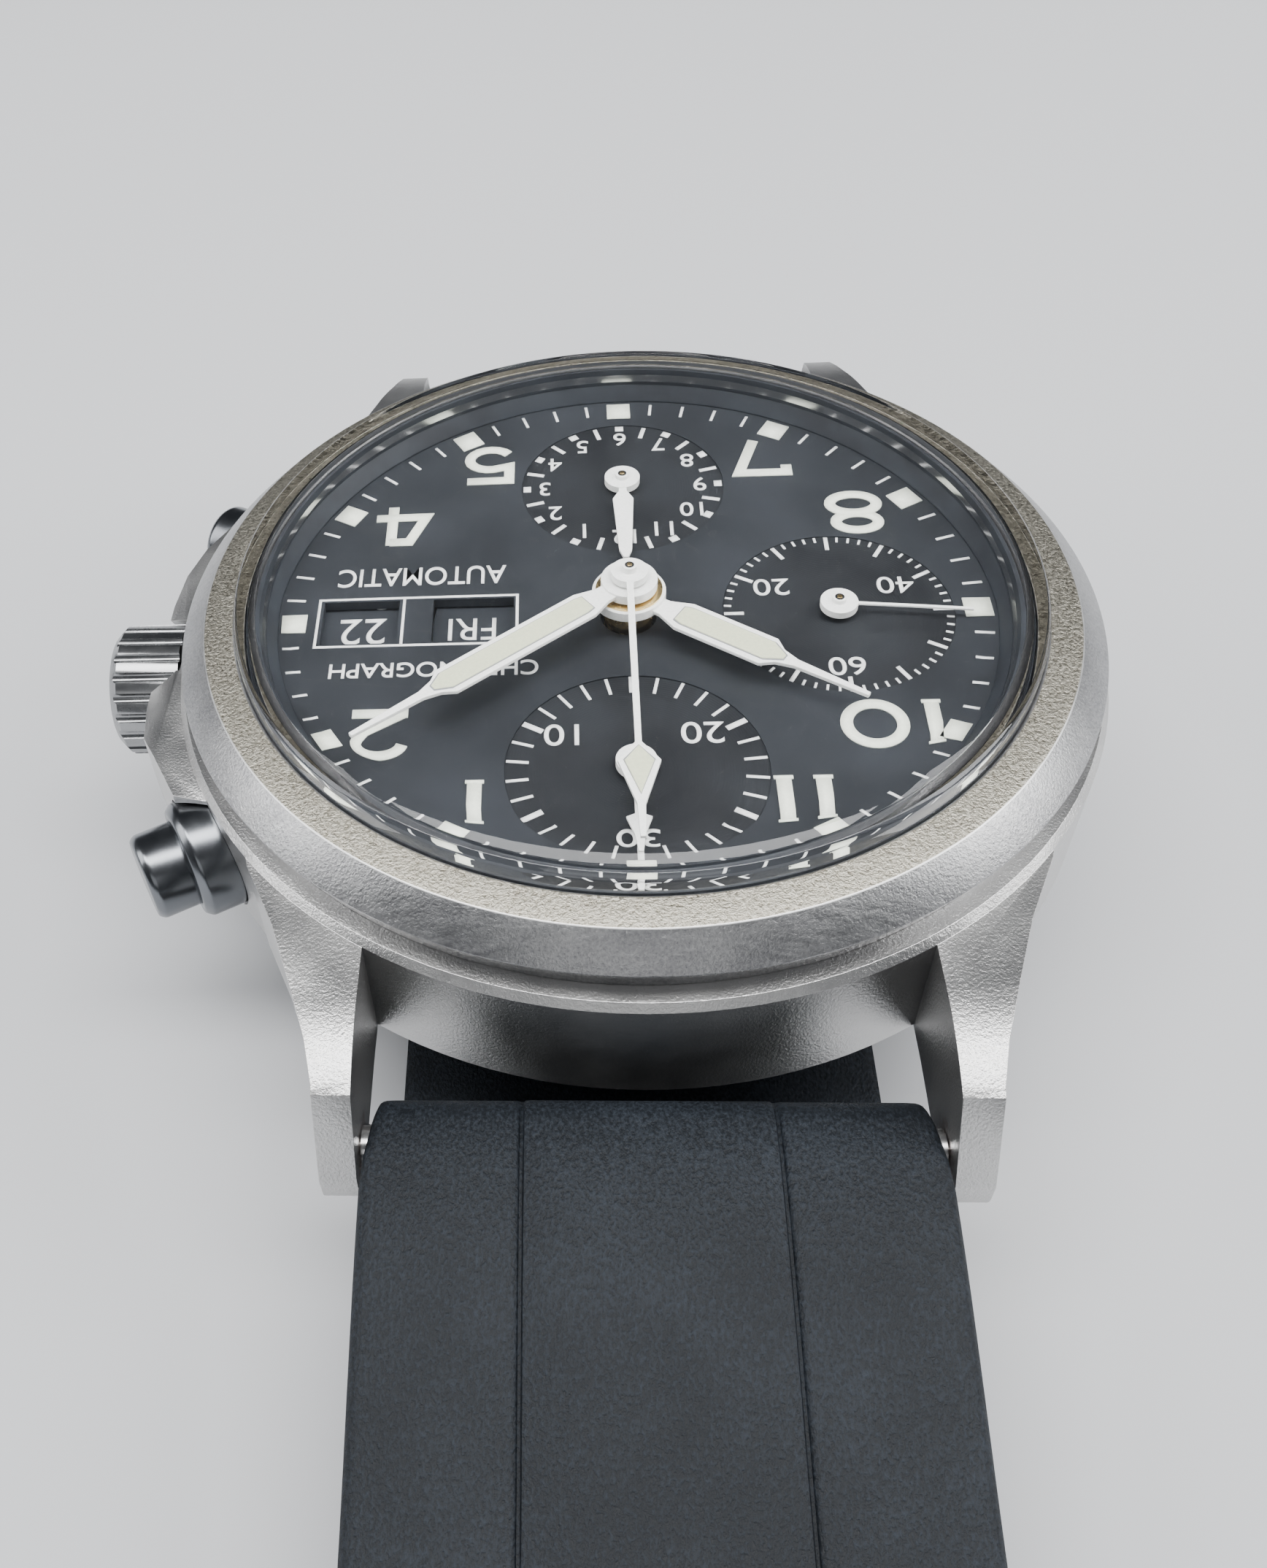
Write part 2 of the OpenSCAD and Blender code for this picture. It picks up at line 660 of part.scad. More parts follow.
// Outline of the strap seen from above, tapering from the lugs to y1
module strap_plan(y0, y1, w1, tip = 0) {
    w0 = strap_w;
    polygon(concat(
        [[-w1 / 2, y1 - tip], [-w0 / 2, y0 + 3], [-w0 / 2 + 0.5, y0], [w0 / 2 - 0.5, y0],
        [w0 / 2, y0 + 3], [w1 / 2, y1 - tip]],
        tip > 0 ? [for (a = [10:20:170]) [w1 / 2 * cos(a), y1 - tip + tip * sin(a)]] : []
    ));
}

function ease(t) = let (u = min(1, max(0, t))) u * u * (3 - 2 * u);

// The buckle half sags from its bar onto the free keeper's band, which lies on the folded half;
// past the folded half's tip it drops to the fixed keeper's band and then to the buckle
band_t = 1.15;
band_gap = 0.12;
over_z = strap_t + band_t + 2 * band_gap + half_t;
low_z = band_t + band_gap + half_t;
end_z = 1.65;

function sag_z(y) = bar_top
    - (bar_top - over_z) * ease((y - bar_y) / 18)
    - (over_z - low_z) * ease((y - tail_y - 0.5) / 11)
    - (low_z - end_z) * ease((y - buckle_y + 5) / 4);

// Half thickness of the buckle half along its length
function sag_t(y) = half_t + (end_r - half_t) * max(0, 1 - (y - bar_y) / 12);

module strap_buckle_half() color(rubber) difference() {
    ys = [for (i = [0:46]) bar_y + (buckle_y - bar_y) * i / 46];
    intersection() {
        translate([0, 0, -5]) linear_extrude(height = 30) strap_plan(bar_y - end_r, buckle_y + 3, strap_end_w);
        translate([15, 0, 0]) rotate([90, 0, -90]) mirror([1, 0, 0]) linear_extrude(height = 30) polygon(concat(
            [for (a = [80:-20:-80]) [bar_y - end_r * cos(a), bar_top + end_r * sin(a)]],
            [for (y = ys) [y, sag_z(y) - sag_t(y)]],
            [for (a = [-60:30:60]) [buckle_y + half_t * cos(a), end_z + half_t * sin(a)]],
            [for (i = [46:-1:0]) [ys[i], sag_z(ys[i]) + sag_t(ys[i])]]
        ));
    }
    translate([-15, bar_y, bar_top]) rotate([0, 90, 0]) cylinder(r = bar_r + 0.05, h = 30);
    translate([-15, buckle_y, end_z]) rotate([0, 90, 0]) cylinder(r = bar_r + 0.05, h = 30);
    translate([-1.6, buckle_y - 4.5, -2]) cube([3.2, 9, 12]);
}

fold_y = -bar_y - 1.5;
fold_r = (bar_top - half_t) / 2;
hole_pitch = 6.2;

// Outline of the folded half seen from its side: from the bar, round the fold, and back under the case
module folded_side() {
    mid = fold_r + half_t;
    polygon(concat(
        [for (a = [-80:20:80]) [-bar_y + end_r * cos(a), bar_top + end_r * sin(a)]],
        [[-bar_y, bar_top + end_r], [fold_y, bar_top + half_t]],
        [for (a = [10:10:180]) [fold_y - (fold_r + half_t) * sin(a), mid + (fold_r + half_t) * cos(a)]],
        [[tail_y - 2, 0], [tail_y, 0.6], [tail_y, strap_t - 0.4], [tail_y - 2, strap_t]],
        [for (a = [180:-10:0]) [fold_y - (fold_r - half_t) * sin(a), mid + (fold_r - half_t) * cos(a)]],
        [[-bar_y - 0.6, bar_top - end_r + 0.1]]
    ));
}

module strap_hole_half() color(rubber) difference() {
    intersection() {
        translate([0, 0, -5]) linear_extrude(height = 30) union() {
            strap_plan(-bar_y - 9, tail_y, strap_end_w, 6);
            translate([-strap_w / 2, -bar_y - 9]) square([strap_w, 14]);
        }
        translate([15, 0, 0]) rotate([90, 0, -90]) mirror([1, 0, 0]) linear_extrude(height = 30) folded_side();
    }
    translate([-15, -bar_y, bar_top]) rotate([0, 90, 0]) cylinder(r = bar_r + 0.05, h = 30);
    for (i = [0:6]) translate([0, tail_y - 14 - i * hole_pitch, -1]) cylinder(r = 1.1, h = strap_t + 2);
}

// Closed loop round the strap, with room above it for the other half
module keeper(y, z, wide) translate([0, y + 2.5, z]) rotate([90, 0, 0]) linear_extrude(height = 5)
    difference() {
        translate([-wide / 2 - 1.1, -half_t - band_gap - band_t])
            square([wide + 2.2, 2 * strap_t + 2 * band_t + 0.5]);
        translate([-wide / 2, -half_t - band_gap]) square([wide, 2 * strap_t + 0.5]);
    }

keeper_y = 64;
fixed_keeper_y = 89.5;

module free_keeper() color(rubber) keeper(keeper_y, over_z, 19.3);

module fixed_keeper() color(rubber) keeper(fixed_keeper_y, low_z, 18.4);

// ---- Buckle ----

buckle_z = end_z;
frame_len = 13;

module buckle_frame() color(steel) translate([0, buckle_y, buckle_z]) difference() {
    union() {
        for (s = [-1, 1]) translate([s * 10.1 - 0.9, 0, 0]) rotate([90, 0, 90]) linear_extrude(height = 1.8)
            polygon(concat(
                [for (a = [90:15:270]) [1.35 * cos(a), 1.35 * sin(a)]],
                [[frame_len - 2, -0.9], [frame_len, 0], [frame_len - 1.5, 1.6], [6, 1.9]]
            ));
        translate([-11, frame_len - 2.6, -0.2]) cube([22, 2.1, 1.6]);
    }
    translate([-15, 0, 0]) rotate([0, 90, 0]) cylinder(r = 0.5, h = 30);
}

module buckle_bar() color(steel) translate([0, buckle_y, buckle_z]) rotate([0, 90, 0]) {
    translate([0, 0, -9.15]) cylinder(r = bar_r, h = 18.3);
    translate([0, 0, -10.8]) cylinder(r = 0.45, h = 21.6);
}

module buckle_tongue() color(steel) translate([0, buckle_y, buckle_z]) difference() {
    union() {
        translate([-1.2, 0, 0]) rotate([0, 90, 0]) cylinder(r = 1.3, h = 2.4);
        translate([-1, 0, 0]) rotate([90, 0, 90]) linear_extrude(height = 2)
            polygon([[0, 0.4], [0, 1.3], [frame_len - 3, 2.35], [frame_len + 0.4, 2.2], [frame_len + 0.4, 1.5],
                [frame_len - 3, 1.5], [2, 0.5]]);
    }
    translate([-5, 0, 0]) rotate([0, 90, 0]) cylinder(r = bar_r + 0.05, h = 10);
}

midcase();
bezel();
crystal();
tension_ring();
dial_flange();
case_back();
back_gasket();
crown_tube();
start_tube();
reset_tube();
button_springs();
movement_ring();
case_clamps();
dial();
mainplate();
barrel_bridge();
train_bridge();
chronograph_bridge();
balance_cock();
jewels();
bridge_screws();
rotor_post();
spring_bar_12();
spring_bar_6();
crown();
winding_stem();
setting_lever();
start_button();
reset_button();
hour_hand();
hour_wheel();
minute_hand();
cannon_pinion();
centre_wheel();
minute_wheel();
running_seconds_hand();
fourth_wheel();
third_wheel();
escape_wheel();
pallet_fork();
balance_wheel();
hairspring();
mainspring_barrel();
date_disc();
day_disc();
chrono_seconds_hand();
chrono_wheel();
minute_counter_hand();
minute_counter_wheel();
hour_counter_hand();
hour_counter_wheel();
rotor();
strap_buckle_half();
fixed_keeper();
strap_hole_half();
free_keeper();
buckle_frame();
buckle_tongue();
buckle_bar();
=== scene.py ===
# %% [markdown]
# # A chronograph wristwatch on a rubber strap
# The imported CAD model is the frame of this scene: every solid is already in its place, in metres.
# This lesson dresses it. It gives the case, crystal, dial, hands and strap the edges, print and
# finishes that a real watch has, and keeps each new piece on the body that it moves with.

# %% Load the frame
import math

import bmesh
import bpy
from mathutils import Matrix, Vector


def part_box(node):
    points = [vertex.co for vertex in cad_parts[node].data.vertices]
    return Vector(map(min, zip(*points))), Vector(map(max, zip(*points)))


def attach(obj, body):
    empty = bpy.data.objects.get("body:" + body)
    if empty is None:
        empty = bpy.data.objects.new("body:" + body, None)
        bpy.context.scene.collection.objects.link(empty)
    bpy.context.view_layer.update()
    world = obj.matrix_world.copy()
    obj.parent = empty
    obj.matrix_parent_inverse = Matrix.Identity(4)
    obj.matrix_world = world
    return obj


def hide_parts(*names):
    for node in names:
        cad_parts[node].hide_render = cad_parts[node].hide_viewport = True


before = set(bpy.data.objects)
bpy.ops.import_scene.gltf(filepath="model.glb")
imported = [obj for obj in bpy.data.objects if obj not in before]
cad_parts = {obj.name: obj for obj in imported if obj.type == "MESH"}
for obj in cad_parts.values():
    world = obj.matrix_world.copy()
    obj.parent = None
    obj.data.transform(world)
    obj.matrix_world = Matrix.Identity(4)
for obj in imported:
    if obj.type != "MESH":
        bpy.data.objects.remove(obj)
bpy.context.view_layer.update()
MM = 0.001

# %% [markdown]
# ## Levels of the watch
# A watch is a stack of thin layers, so a few heights above the table fix nearly everything.
# They are read from the CAD nodes' boxes, which keeps the looks and the solids together.

# %% Heights, in millimetres
def top_of(node):
    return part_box(node)[1].z / MM


def bottom_of(node):
    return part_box(node)[0].z / MM


RIM_Z = top_of("midcase") - 0.3
DIAL_Z = top_of("dial")
HEAD_Z = bottom_of("case_back")
print("rim", round(RIM_Z, 3), "dial", round(DIAL_Z, 3), "case back", round(HEAD_Z, 3))

# %% [markdown]
# ## The camera
# The watch is seen from the 12 o'clock side, close up, with a wide lens. Its place and turn are
# written as a matrix whose columns are the camera's right, up and back directions.

# %% Camera
camera_data = bpy.data.cameras.new("camera")
camera_data.sensor_width = 36
camera_data.lens = 33.0
camera_data.shift_x = 0.116
camera_data.shift_y = -0.0095
camera_data.clip_start = 0.001
camera = bpy.data.objects.new("camera", camera_data)
bpy.context.collection.objects.link(camera)
right = Vector((-0.99601, -0.04840, -0.07491)).normalized()
back = Vector((-0.08784, 0.67776, 0.73002)).normalized()
up = back.cross(right)
camera_turn = Matrix((right, up, back)).transposed().to_4x4()
camera_place = Vector((2.211, 46.342, 41.475 + RIM_Z)) * MM
camera.matrix_world = Matrix.Translation(camera_place) @ camera_turn
bpy.context.scene.camera = camera
print("camera at", tuple(round(c, 4) for c in camera_place))

# %% [markdown]
# ## A pale floor
# Polished and blasted steel only show what is around them, so the watch lies on a plain pale
# floor. The floor is a stage, not a part of the watch, and sits a hair below it.

# %% Floor
FLOOR_HALF, FLOOR_GAP = 3, 0.00003


def tinted_floor():
    material = bpy.data.materials.new("pale_floor")
    material.use_nodes = True
    tree = material.node_tree
    noise = tree.nodes.new("ShaderNodeTexNoise")
    noise.inputs["Scale"].default_value = 6
    ramp = tree.nodes.new("ShaderNodeValToRGB")
    ramp.color_ramp.elements[0].color = (0.62, 0.63, 0.65, 1)
    ramp.color_ramp.elements[1].color = (0.7, 0.71, 0.73, 1)
    place = tree.nodes.new("ShaderNodeTexCoord")
    tree.links.new(place.outputs["Object"], noise.inputs["Vector"])
    tree.links.new(noise.outputs["Fac"], ramp.inputs["Fac"])
    tree.links.new(ramp.outputs["Color"], tree.nodes["Principled BSDF"].inputs["Base Color"])
    tree.nodes["Principled BSDF"].inputs["Roughness"].default_value = 0.8
    return material


floor_mesh = bpy.data.meshes.new("floor")
bm = bmesh.new()
bmesh.ops.create_grid(bm, x_segments=1, y_segments=1, size=FLOOR_HALF)
bmesh.ops.translate(bm, verts=bm.verts, vec=(0, 0, -FLOOR_GAP))
bm.to_mesh(floor_mesh)
bm.free()
floor = bpy.data.objects.new("floor", floor_mesh)
floor_mesh.materials.append(tinted_floor())
bpy.context.collection.objects.link(floor)
print("floor", 2 * FLOOR_HALF, "m wide")

# %% [markdown]
# ## Soft light
# One wide softbox hangs almost straight above. It is narrow from front to back, so that its
# reflection misses the dial as the camera sees it. Three weaker ones fill the sides and back.

# %% Lights and sky
def softbox(name, place, aim, size, watts):
    light = bpy.data.lights.new(name, "AREA")
    light.shape = "RECTANGLE"
    light.size, light.size_y = size
    light.energy = watts
    lamp = bpy.data.objects.new(name, light)
    lamp.location = place
    lamp.rotation_euler = (Vector(aim) - Vector(place)).to_track_quat("-Z", "Y").to_euler()
    bpy.context.collection.objects.link(lamp)


softbox("light_above", (0, 0.06, 0.62), (0, 0, 0), (0.85, 0.2), 6.8)
softbox("light_left", (0.5, 0.02, 0.3), (0, 0, 0.01), (0.25, 0.4), 1.6)
softbox("light_right", (-0.5, 0.02, 0.3), (0, 0, 0.01), (0.25, 0.4), 2.4)
softbox("light_behind", (0, 0.6, 0.35), (0, 0, 0.01), (0.5, 0.3), 0.4)
sky = bpy.data.worlds.new("sky")
sky.use_nodes = True
sky.node_tree.nodes["Background"].inputs["Color"].default_value = (0.72, 0.77, 0.85, 1)
sky.node_tree.nodes["Background"].inputs["Strength"].default_value = 0.12
bpy.context.scene.world = sky

# %% [markdown]
# ## Small tools for finishes
# Every finish starts from the same few nodes: a shader, object coordinates, and a noise that
# may be stretched one way. Helpers wire those up, because they return in every finish.

# %% Start a finish, noise and stretch
def start_finish(name, base, metallic=0.0, roughness=0.5):
    material = bpy.data.materials.new(name)
    material.use_nodes = True
    tree = material.node_tree
    shader = tree.nodes["Principled BSDF"]
    shader.inputs["Base Color"].default_value = (*base, 1)
    shader.inputs["Metallic"].default_value = metallic
    shader.inputs["Roughness"].default_value = roughness
    place = tree.nodes.new("ShaderNodeTexCoord").outputs["Object"]
    return material, tree, shader, place


def noise_of(tree, vector, scale, detail=3.0, roughness=0.55):
    noise = tree.nodes.new("ShaderNodeTexNoise")
    noise.inputs["Scale"].default_value = scale
    noise.inputs["Detail"].default_value = detail
    noise.inputs["Roughness"].default_value = roughness
    tree.links.new(vector, noise.inputs["Vector"])
    return noise.outputs["Fac"]


def stretched(tree, vector, scale, location=(0, 0, 0)):
    mapping = tree.nodes.new("ShaderNodeMapping")
    mapping.inputs["Scale"].default_value = scale
    mapping.inputs["Location"].default_value = location
    tree.links.new(vector, mapping.inputs["Vector"])
    return mapping.outputs["Vector"]


print("noise and stretch ready")

# %% [markdown]
# ## Tint, range and bump
# A noise is only a number between 0 and 1. A ramp turns it into a colour, a range into a
# roughness, and a bump into grain that catches the light.

# %% Tint, range and bump
def tinted(tree, factor, low, high, start=0.35, end=0.65):
    ramp = tree.nodes.new("ShaderNodeValToRGB")
    ramp.color_ramp.elements[0].color = (*low, 1)
    ramp.color_ramp.elements[1].color = (*high, 1)
    ramp.color_ramp.elements[0].position = start
    ramp.color_ramp.elements[1].position = end
    tree.links.new(factor, ramp.inputs["Fac"])
    return ramp.outputs["Color"]


def ranged(tree, factor, low, high, start=0.3, end=0.7):
    span = tree.nodes.new("ShaderNodeMapRange")
    span.inputs["From Min"].default_value = start
    span.inputs["From Max"].default_value = end
    span.inputs["To Min"].default_value = low
    span.inputs["To Max"].default_value = high
    tree.links.new(factor, span.inputs["Value"])
    return span.outputs["Result"]


def tint_base(tree, shader, factor, low, high, start=0.35, end=0.65):
    tree.links.new(tinted(tree, factor, low, high, start, end), shader.inputs["Base Color"])


def vary_roughness(tree, shader, factor, low, high, start=0.3, end=0.7):
    tree.links.new(ranged(tree, factor, low, high, start, end), shader.inputs["Roughness"])


def bumped(tree, shader, height, strength, depth, under=None):
    bump = tree.nodes.new("ShaderNodeBump")
    bump.inputs["Strength"].default_value = strength
    bump.inputs["Distance"].default_value = depth
    tree.links.new(height, bump.inputs["Height"])
    if under is not None:
        tree.links.new(under, bump.inputs["Normal"])
    tree.links.new(bump.outputs["Normal"], shader.inputs["Normal"])
    return bump.outputs["Normal"]


print("tint, range and bump ready")

# %% [markdown]
# ## Grain that runs round
# Turned parts carry their grain in circles. Angle and radius are worked out from the object
# coordinates, which keeps the circles true from every side.

# %% Sums and polar coordinates
def calculated(tree, operation, *values):
    math_node = tree.nodes.new("ShaderNodeMath")
    math_node.operation = operation
    for socket, value in zip(math_node.inputs, values):
        if isinstance(value, (int, float)):
            socket.default_value = value
        else:
            tree.links.new(value, socket)
    return math_node.outputs[0]


def polar(tree, vector, around, across, centre=(0, 0)):
    """A vector that runs round an upright axis, for grain that was made on a lathe."""
    apart = tree.nodes.new("ShaderNodeSeparateXYZ")
    centred = stretched(tree, vector, (1, 1, 1), (-centre[0], -centre[1], 0))
    tree.links.new(centred, apart.inputs[0])
    x, y, z = apart.outputs
    angle = calculated(tree, "ARCTAN2", y, x)
    x_squared = calculated(tree, "MULTIPLY", x, x)
    radius = calculated(tree, "SQRT", calculated(tree, "MULTIPLY_ADD", y, y, x_squared))
    joined = tree.nodes.new("ShaderNodeCombineXYZ")
    tree.links.new(calculated(tree, "MULTIPLY", angle, around), joined.inputs[0])
    tree.links.new(calculated(tree, "MULTIPLY", radius, across), joined.inputs[1])
    tree.links.new(calculated(tree, "MULTIPLY", z, across), joined.inputs[2])
    return joined.outputs[0], radius


print("polar grain ready")

# %% [markdown]
# ## Blasted steel
# The case is bead-blasted: tiny glass beads leave a fine, even grain that scatters the light. It
# is a metal shader whose roughness wanders a little, with a bump a few microns deep. A trace of
# rust sits where each spring bar enters its lug, found by mirroring the coordinates.

# %% Blasted steel
SPRING_BAR_END = (0.01, 0.0219, 0.0082)


def blasted_steel():
    material, tree, shader, place = start_finish("blasted_steel", (0.6, 0.59, 0.58), 1, 0.36)
    grain = noise_of(tree, place, 8500, 2, 0.7)
    wear = noise_of(tree, place, 260, 4)
    steel = tinted(tree, wear, (0.58, 0.575, 0.57), (0.65, 0.645, 0.635))
    vary_roughness(tree, shader, wear, 0.3, 0.42)
    bumped(tree, shader, grain, 0.8, 0.00003)
    mirrored = tree.nodes.new("ShaderNodeVectorMath")
    mirrored.operation = "ABSOLUTE"
    tree.links.new(place, mirrored.inputs[0])
    away = tree.nodes.new("ShaderNodeVectorMath")
    away.operation = "DISTANCE"
    away.inputs[1].default_value = SPRING_BAR_END
    tree.links.new(mirrored.outputs[0], away.inputs[0])
    spots = noise_of(tree, place, 1500, 3)
    patchy = calculated(tree, "MULTIPLY_ADD", spots, 0.0018, away.outputs["Value"])
    rust = tree.nodes.new("ShaderNodeMix")
    rust.data_type = "RGBA"
    rust.inputs["B"].default_value = (0.2, 0.09, 0.05, 1)
    tree.links.new(ranged(tree, patchy, 0.8, 0, 0.0013, 0.0021), rust.inputs["Factor"])
    tree.links.new(steel, rust.inputs["A"])
    tree.links.new(rust.outputs["Result"], shader.inputs["Base Color"])
    return material


blasted = blasted_steel()
print("steel", blasted.name)

# %% [markdown]
# ## The bezel's two faces
# The outer cone is satin from the lathe and carries years of hairline scratches, so its noise
# runs round the axis. The flat ring above it is coarser and sandy, so it has its own finish.

# %% Satin and sandy steel
def satin_bezel():
    material, tree, shader, place = start_finish("satin_bezel", (0.5, 0.5, 0.5), 1, 0.3)
    round_way = polar(tree, place, 60, 30000)[0]
    lathe = noise_of(tree, round_way, 1.0, 4, 0.65)
    grain = noise_of(tree, place, 8500, 2, 0.7)
    wear = noise_of(tree, place, 420, 4)
    scratch_way = stretched(tree, place, (700, 5200, 2000))
    scratch = noise_of(tree, scratch_way, 1.0, 5, 0.75)
    worn = calculated(tree, "MULTIPLY", wear, 0.4)
    speckle = calculated(tree, "MULTIPLY_ADD", grain, 0.6, worn)
    tint_base(tree, shader, speckle, (0.3, 0.3, 0.31), (0.5, 0.5, 0.5))
    vary_roughness(tree, shader, scratch, 0.27, 0.42)
    first = bumped(tree, shader, lathe, 0.35, 0.000006)
    second = bumped(tree, shader, grain, 0.7, 0.000025, first)
    bumped(tree, shader, ranged(tree, scratch, 0, 1, 0.7, 0.75), 0.5, 0.000015, second)
    return material


def grained_slope():
    material, tree, shader, place = start_finish("grained_slope", (0.6, 0.58, 0.54), 1, 0.36)
    grain = noise_of(tree, place, 7000, 3, 0.75)
    tint_base(tree, shader, grain, (0.38, 0.35, 0.28), (0.66, 0.63, 0.54))
    vary_roughness(tree, shader, grain, 0.26, 0.46)
    bumped(tree, shader, grain, 1, 0.00005)
    return material


satin = satin_bezel()
slope = grained_slope()
print("steels", satin.name, slope.name)

# %% [markdown]
# ## Polished steel
# Crown, buttons, buckle and pins are smoother. One recipe with its own tint and roughness
# serves them all, because they differ only in how bright and how worn they are.

# %% Polished steel
def polished_steel(name="polished_steel", base=(0.62, 0.62, 0.62), rough=0.16):
    material, tree, shader, place = start_finish(name, base, 1, rough)
    wear = noise_of(tree, place, 900, 5)
    hair = noise_of(tree, stretched(tree, place, (900, 9000, 900)), 1, 4, 0.7)
    vary_roughness(tree, shader, wear, rough * 0.9, rough * 1.15)
    tint_base(tree, shader, wear, tuple(0.88 * c for c in base), base)
    bumped(tree, shader, hair, 0.04, 0.0000015)
    return material


polished = polished_steel()
satin_side = polished_steel("satin_side", (0.36, 0.365, 0.37), 0.26)
dark_polish = polished_steel("dark_polish", (0.2, 0.21, 0.225), 0.24)
# A lighter, rougher copy of the steel for the bezel's top edge: a painted highlight.
edge_highlight_steel = polished_steel("edge_highlight_steel", (0.85, 0.85, 0.84), 0.4)
print("steels", polished.name, satin_side.name, dark_polish.name, edge_highlight_steel.name)

# %% [markdown]
# ## Acrylic
# The crystal is clear acrylic, which bends light a little less than glass. Its reflections are
# weakened, as a coating would do, so that the dial can be read from every side.

# %% Clear acrylic
def clear_acrylic():
    material, tree, shader, place = start_finish("clear_acrylic", (1, 1, 1), 0, 0.0)
    shader.inputs["Transmission Weight"].default_value = 1
    shader.inputs["IOR"].default_value = 1.49
    shader.inputs["Specular IOR Level"].default_value = 0.3
    rub = noise_of(tree, place, 700, 4)
    vary_roughness(tree, shader, rub, 0.0, 0.008)
    return material


acrylic = clear_acrylic()
print("crystal", acrylic.name)

# %% [markdown]
# ## Dial paint
# The dial is a matte black that is never quite black. Its recessed counters show fine turned
# rings, drawn by a sine of the radius, and the sloping flange is a very dark grey.

# %% Dial, counter and flange paint
RING_PITCH = 0.00011


def dial_black():
    material, tree, shader, place = start_finish("dial_black", (0.02, 0.022, 0.025), 0, 0.6)
    shader.inputs["Specular IOR Level"].default_value = 0.15
    grain = noise_of(tree, place, 16000, 2)
    cloud = noise_of(tree, place, 220, 3)
    tint_base(tree, shader, cloud, (0.013, 0.015, 0.018), (0.022, 0.025, 0.03))
    vary_roughness(tree, shader, grain, 0.55, 0.7)
    bumped(tree, shader, grain, 0.3, 0.000006)
    return material


def counter_black(name, centre):
    """Matte black with the fine turned rings of a recessed counter."""
    material, tree, shader, place = start_finish(name, (0.014, 0.016, 0.018), 0, 0.5)
    shader.inputs["Specular IOR Level"].default_value = 0.15
    round_way, radius = polar(tree, place, 3, 4000, centre)
    turns = calculated(tree, "MULTIPLY", radius, 2 * math.pi / RING_PITCH)
    rings = calculated(tree, "SINE", turns)
    cloud = noise_of(tree, place, 300, 3)
    tint_base(tree, shader, cloud, (0.01, 0.011, 0.013), (0.017, 0.019, 0.022))
    bumped(tree, shader, rings, 0.18, 0.000006)
    return material


def flange_grey():
    material, tree, shader, place = start_finish("flange_grey", (0.03, 0.035, 0.042), 0, 0.5)
    shader.inputs["Specular IOR Level"].default_value = 0.2
    cloud = noise_of(tree, place, 500, 3)
    grain = noise_of(tree, place, 12000, 2)
    tint_base(tree, shader, cloud, (0.014, 0.016, 0.02), (0.022, 0.026, 0.032))
    bumped(tree, shader, grain, 0.3, 0.000008)
    return material


dial_paint = dial_black()
flange_paint = flange_grey()
print("paints", dial_paint.name, flange_paint.name)

# %% [markdown]
# ## Print and lume
# Print is thin off-white ink, and lume is thick, cream and grainy. Both are one recipe with its
# own colour, roughness and depth of grain.

# %% Print and lume
def print_white(name, base, rough=0.5, depth=0.000006):
    material, tree, shader, place = start_finish(name, base, 0, rough)
    grain = noise_of(tree, place, 9000, 3)
    tint_base(tree, shader, grain, tuple(0.9 * c for c in base), base)
    vary_roughness(tree, shader, grain, rough - 0.08, rough + 0.08)
    bumped(tree, shader, grain, 0.4, depth)
    return material


print_ink = print_white("print_ink", (0.8, 0.81, 0.8))
dial_lume = print_white("dial_lume", (0.8, 0.84, 0.73), 0.6, 0.000015)
hand_white = print_white("hand_white", (0.86, 0.87, 0.85), 0.35)
hand_lume = print_white("hand_lume", (0.56, 0.59, 0.42), 0.6, 0.000015)
grey_line = print_white("grey_line", (0.22, 0.23, 0.24), 0.5)
print("inks", print_ink.name, dial_lume.name, hand_white.name, hand_lume.name, grey_line.name)

# %% [markdown]
# ## Rubber
# The strap is moulded rubber with the fine leathery grain of its mould, and a little dust in
# the grain lifts its black. Two noises of different size make the bump.

# %% Moulded rubber
def moulded_rubber(name, base=(0.008, 0.01, 0.013), grain_size=6000):
    material, tree, shader, place = start_finish(name, base, 0, 0.5)
    shader.inputs["Specular IOR Level"].default_value = 0.2
    grain = noise_of(tree, stretched(tree, place, (1.5, 1, 1)), grain_size, 3, 0.6)
    fine = noise_of(tree, place, grain_size * 3, 2)
    dust = noise_of(tree, place, 160, 5)
    light = tuple(3.2 * c for c in base)
    faint_dust = calculated(tree, "MULTIPLY", dust, 0.3)
    speckle = calculated(tree, "MULTIPLY_ADD", grain, 0.7, faint_dust)
    tint_base(tree, shader, speckle, base, light, 0.45, 0.68)
    vary_roughness(tree, shader, grain, 0.42, 0.6)
    first = bumped(tree, shader, grain, 0.9, 0.00006)
    bumped(tree, shader, fine, 0.4, 0.000015, first)
    return material


rubber = moulded_rubber("strap_rubber")
gasket_rubber = moulded_rubber("gasket_rubber", (0.015, 0.015, 0.015), 9000)
print("rubbers", rubber.name, gasket_rubber.name)

# %% [markdown]
# ## Metals and stones of the movement
# The plates are nickel-plated with rows of turned spots, the wheels are gilt, the screws blued
# and the bearings ruby. The round cells of a Voronoi pattern stand for the spots.

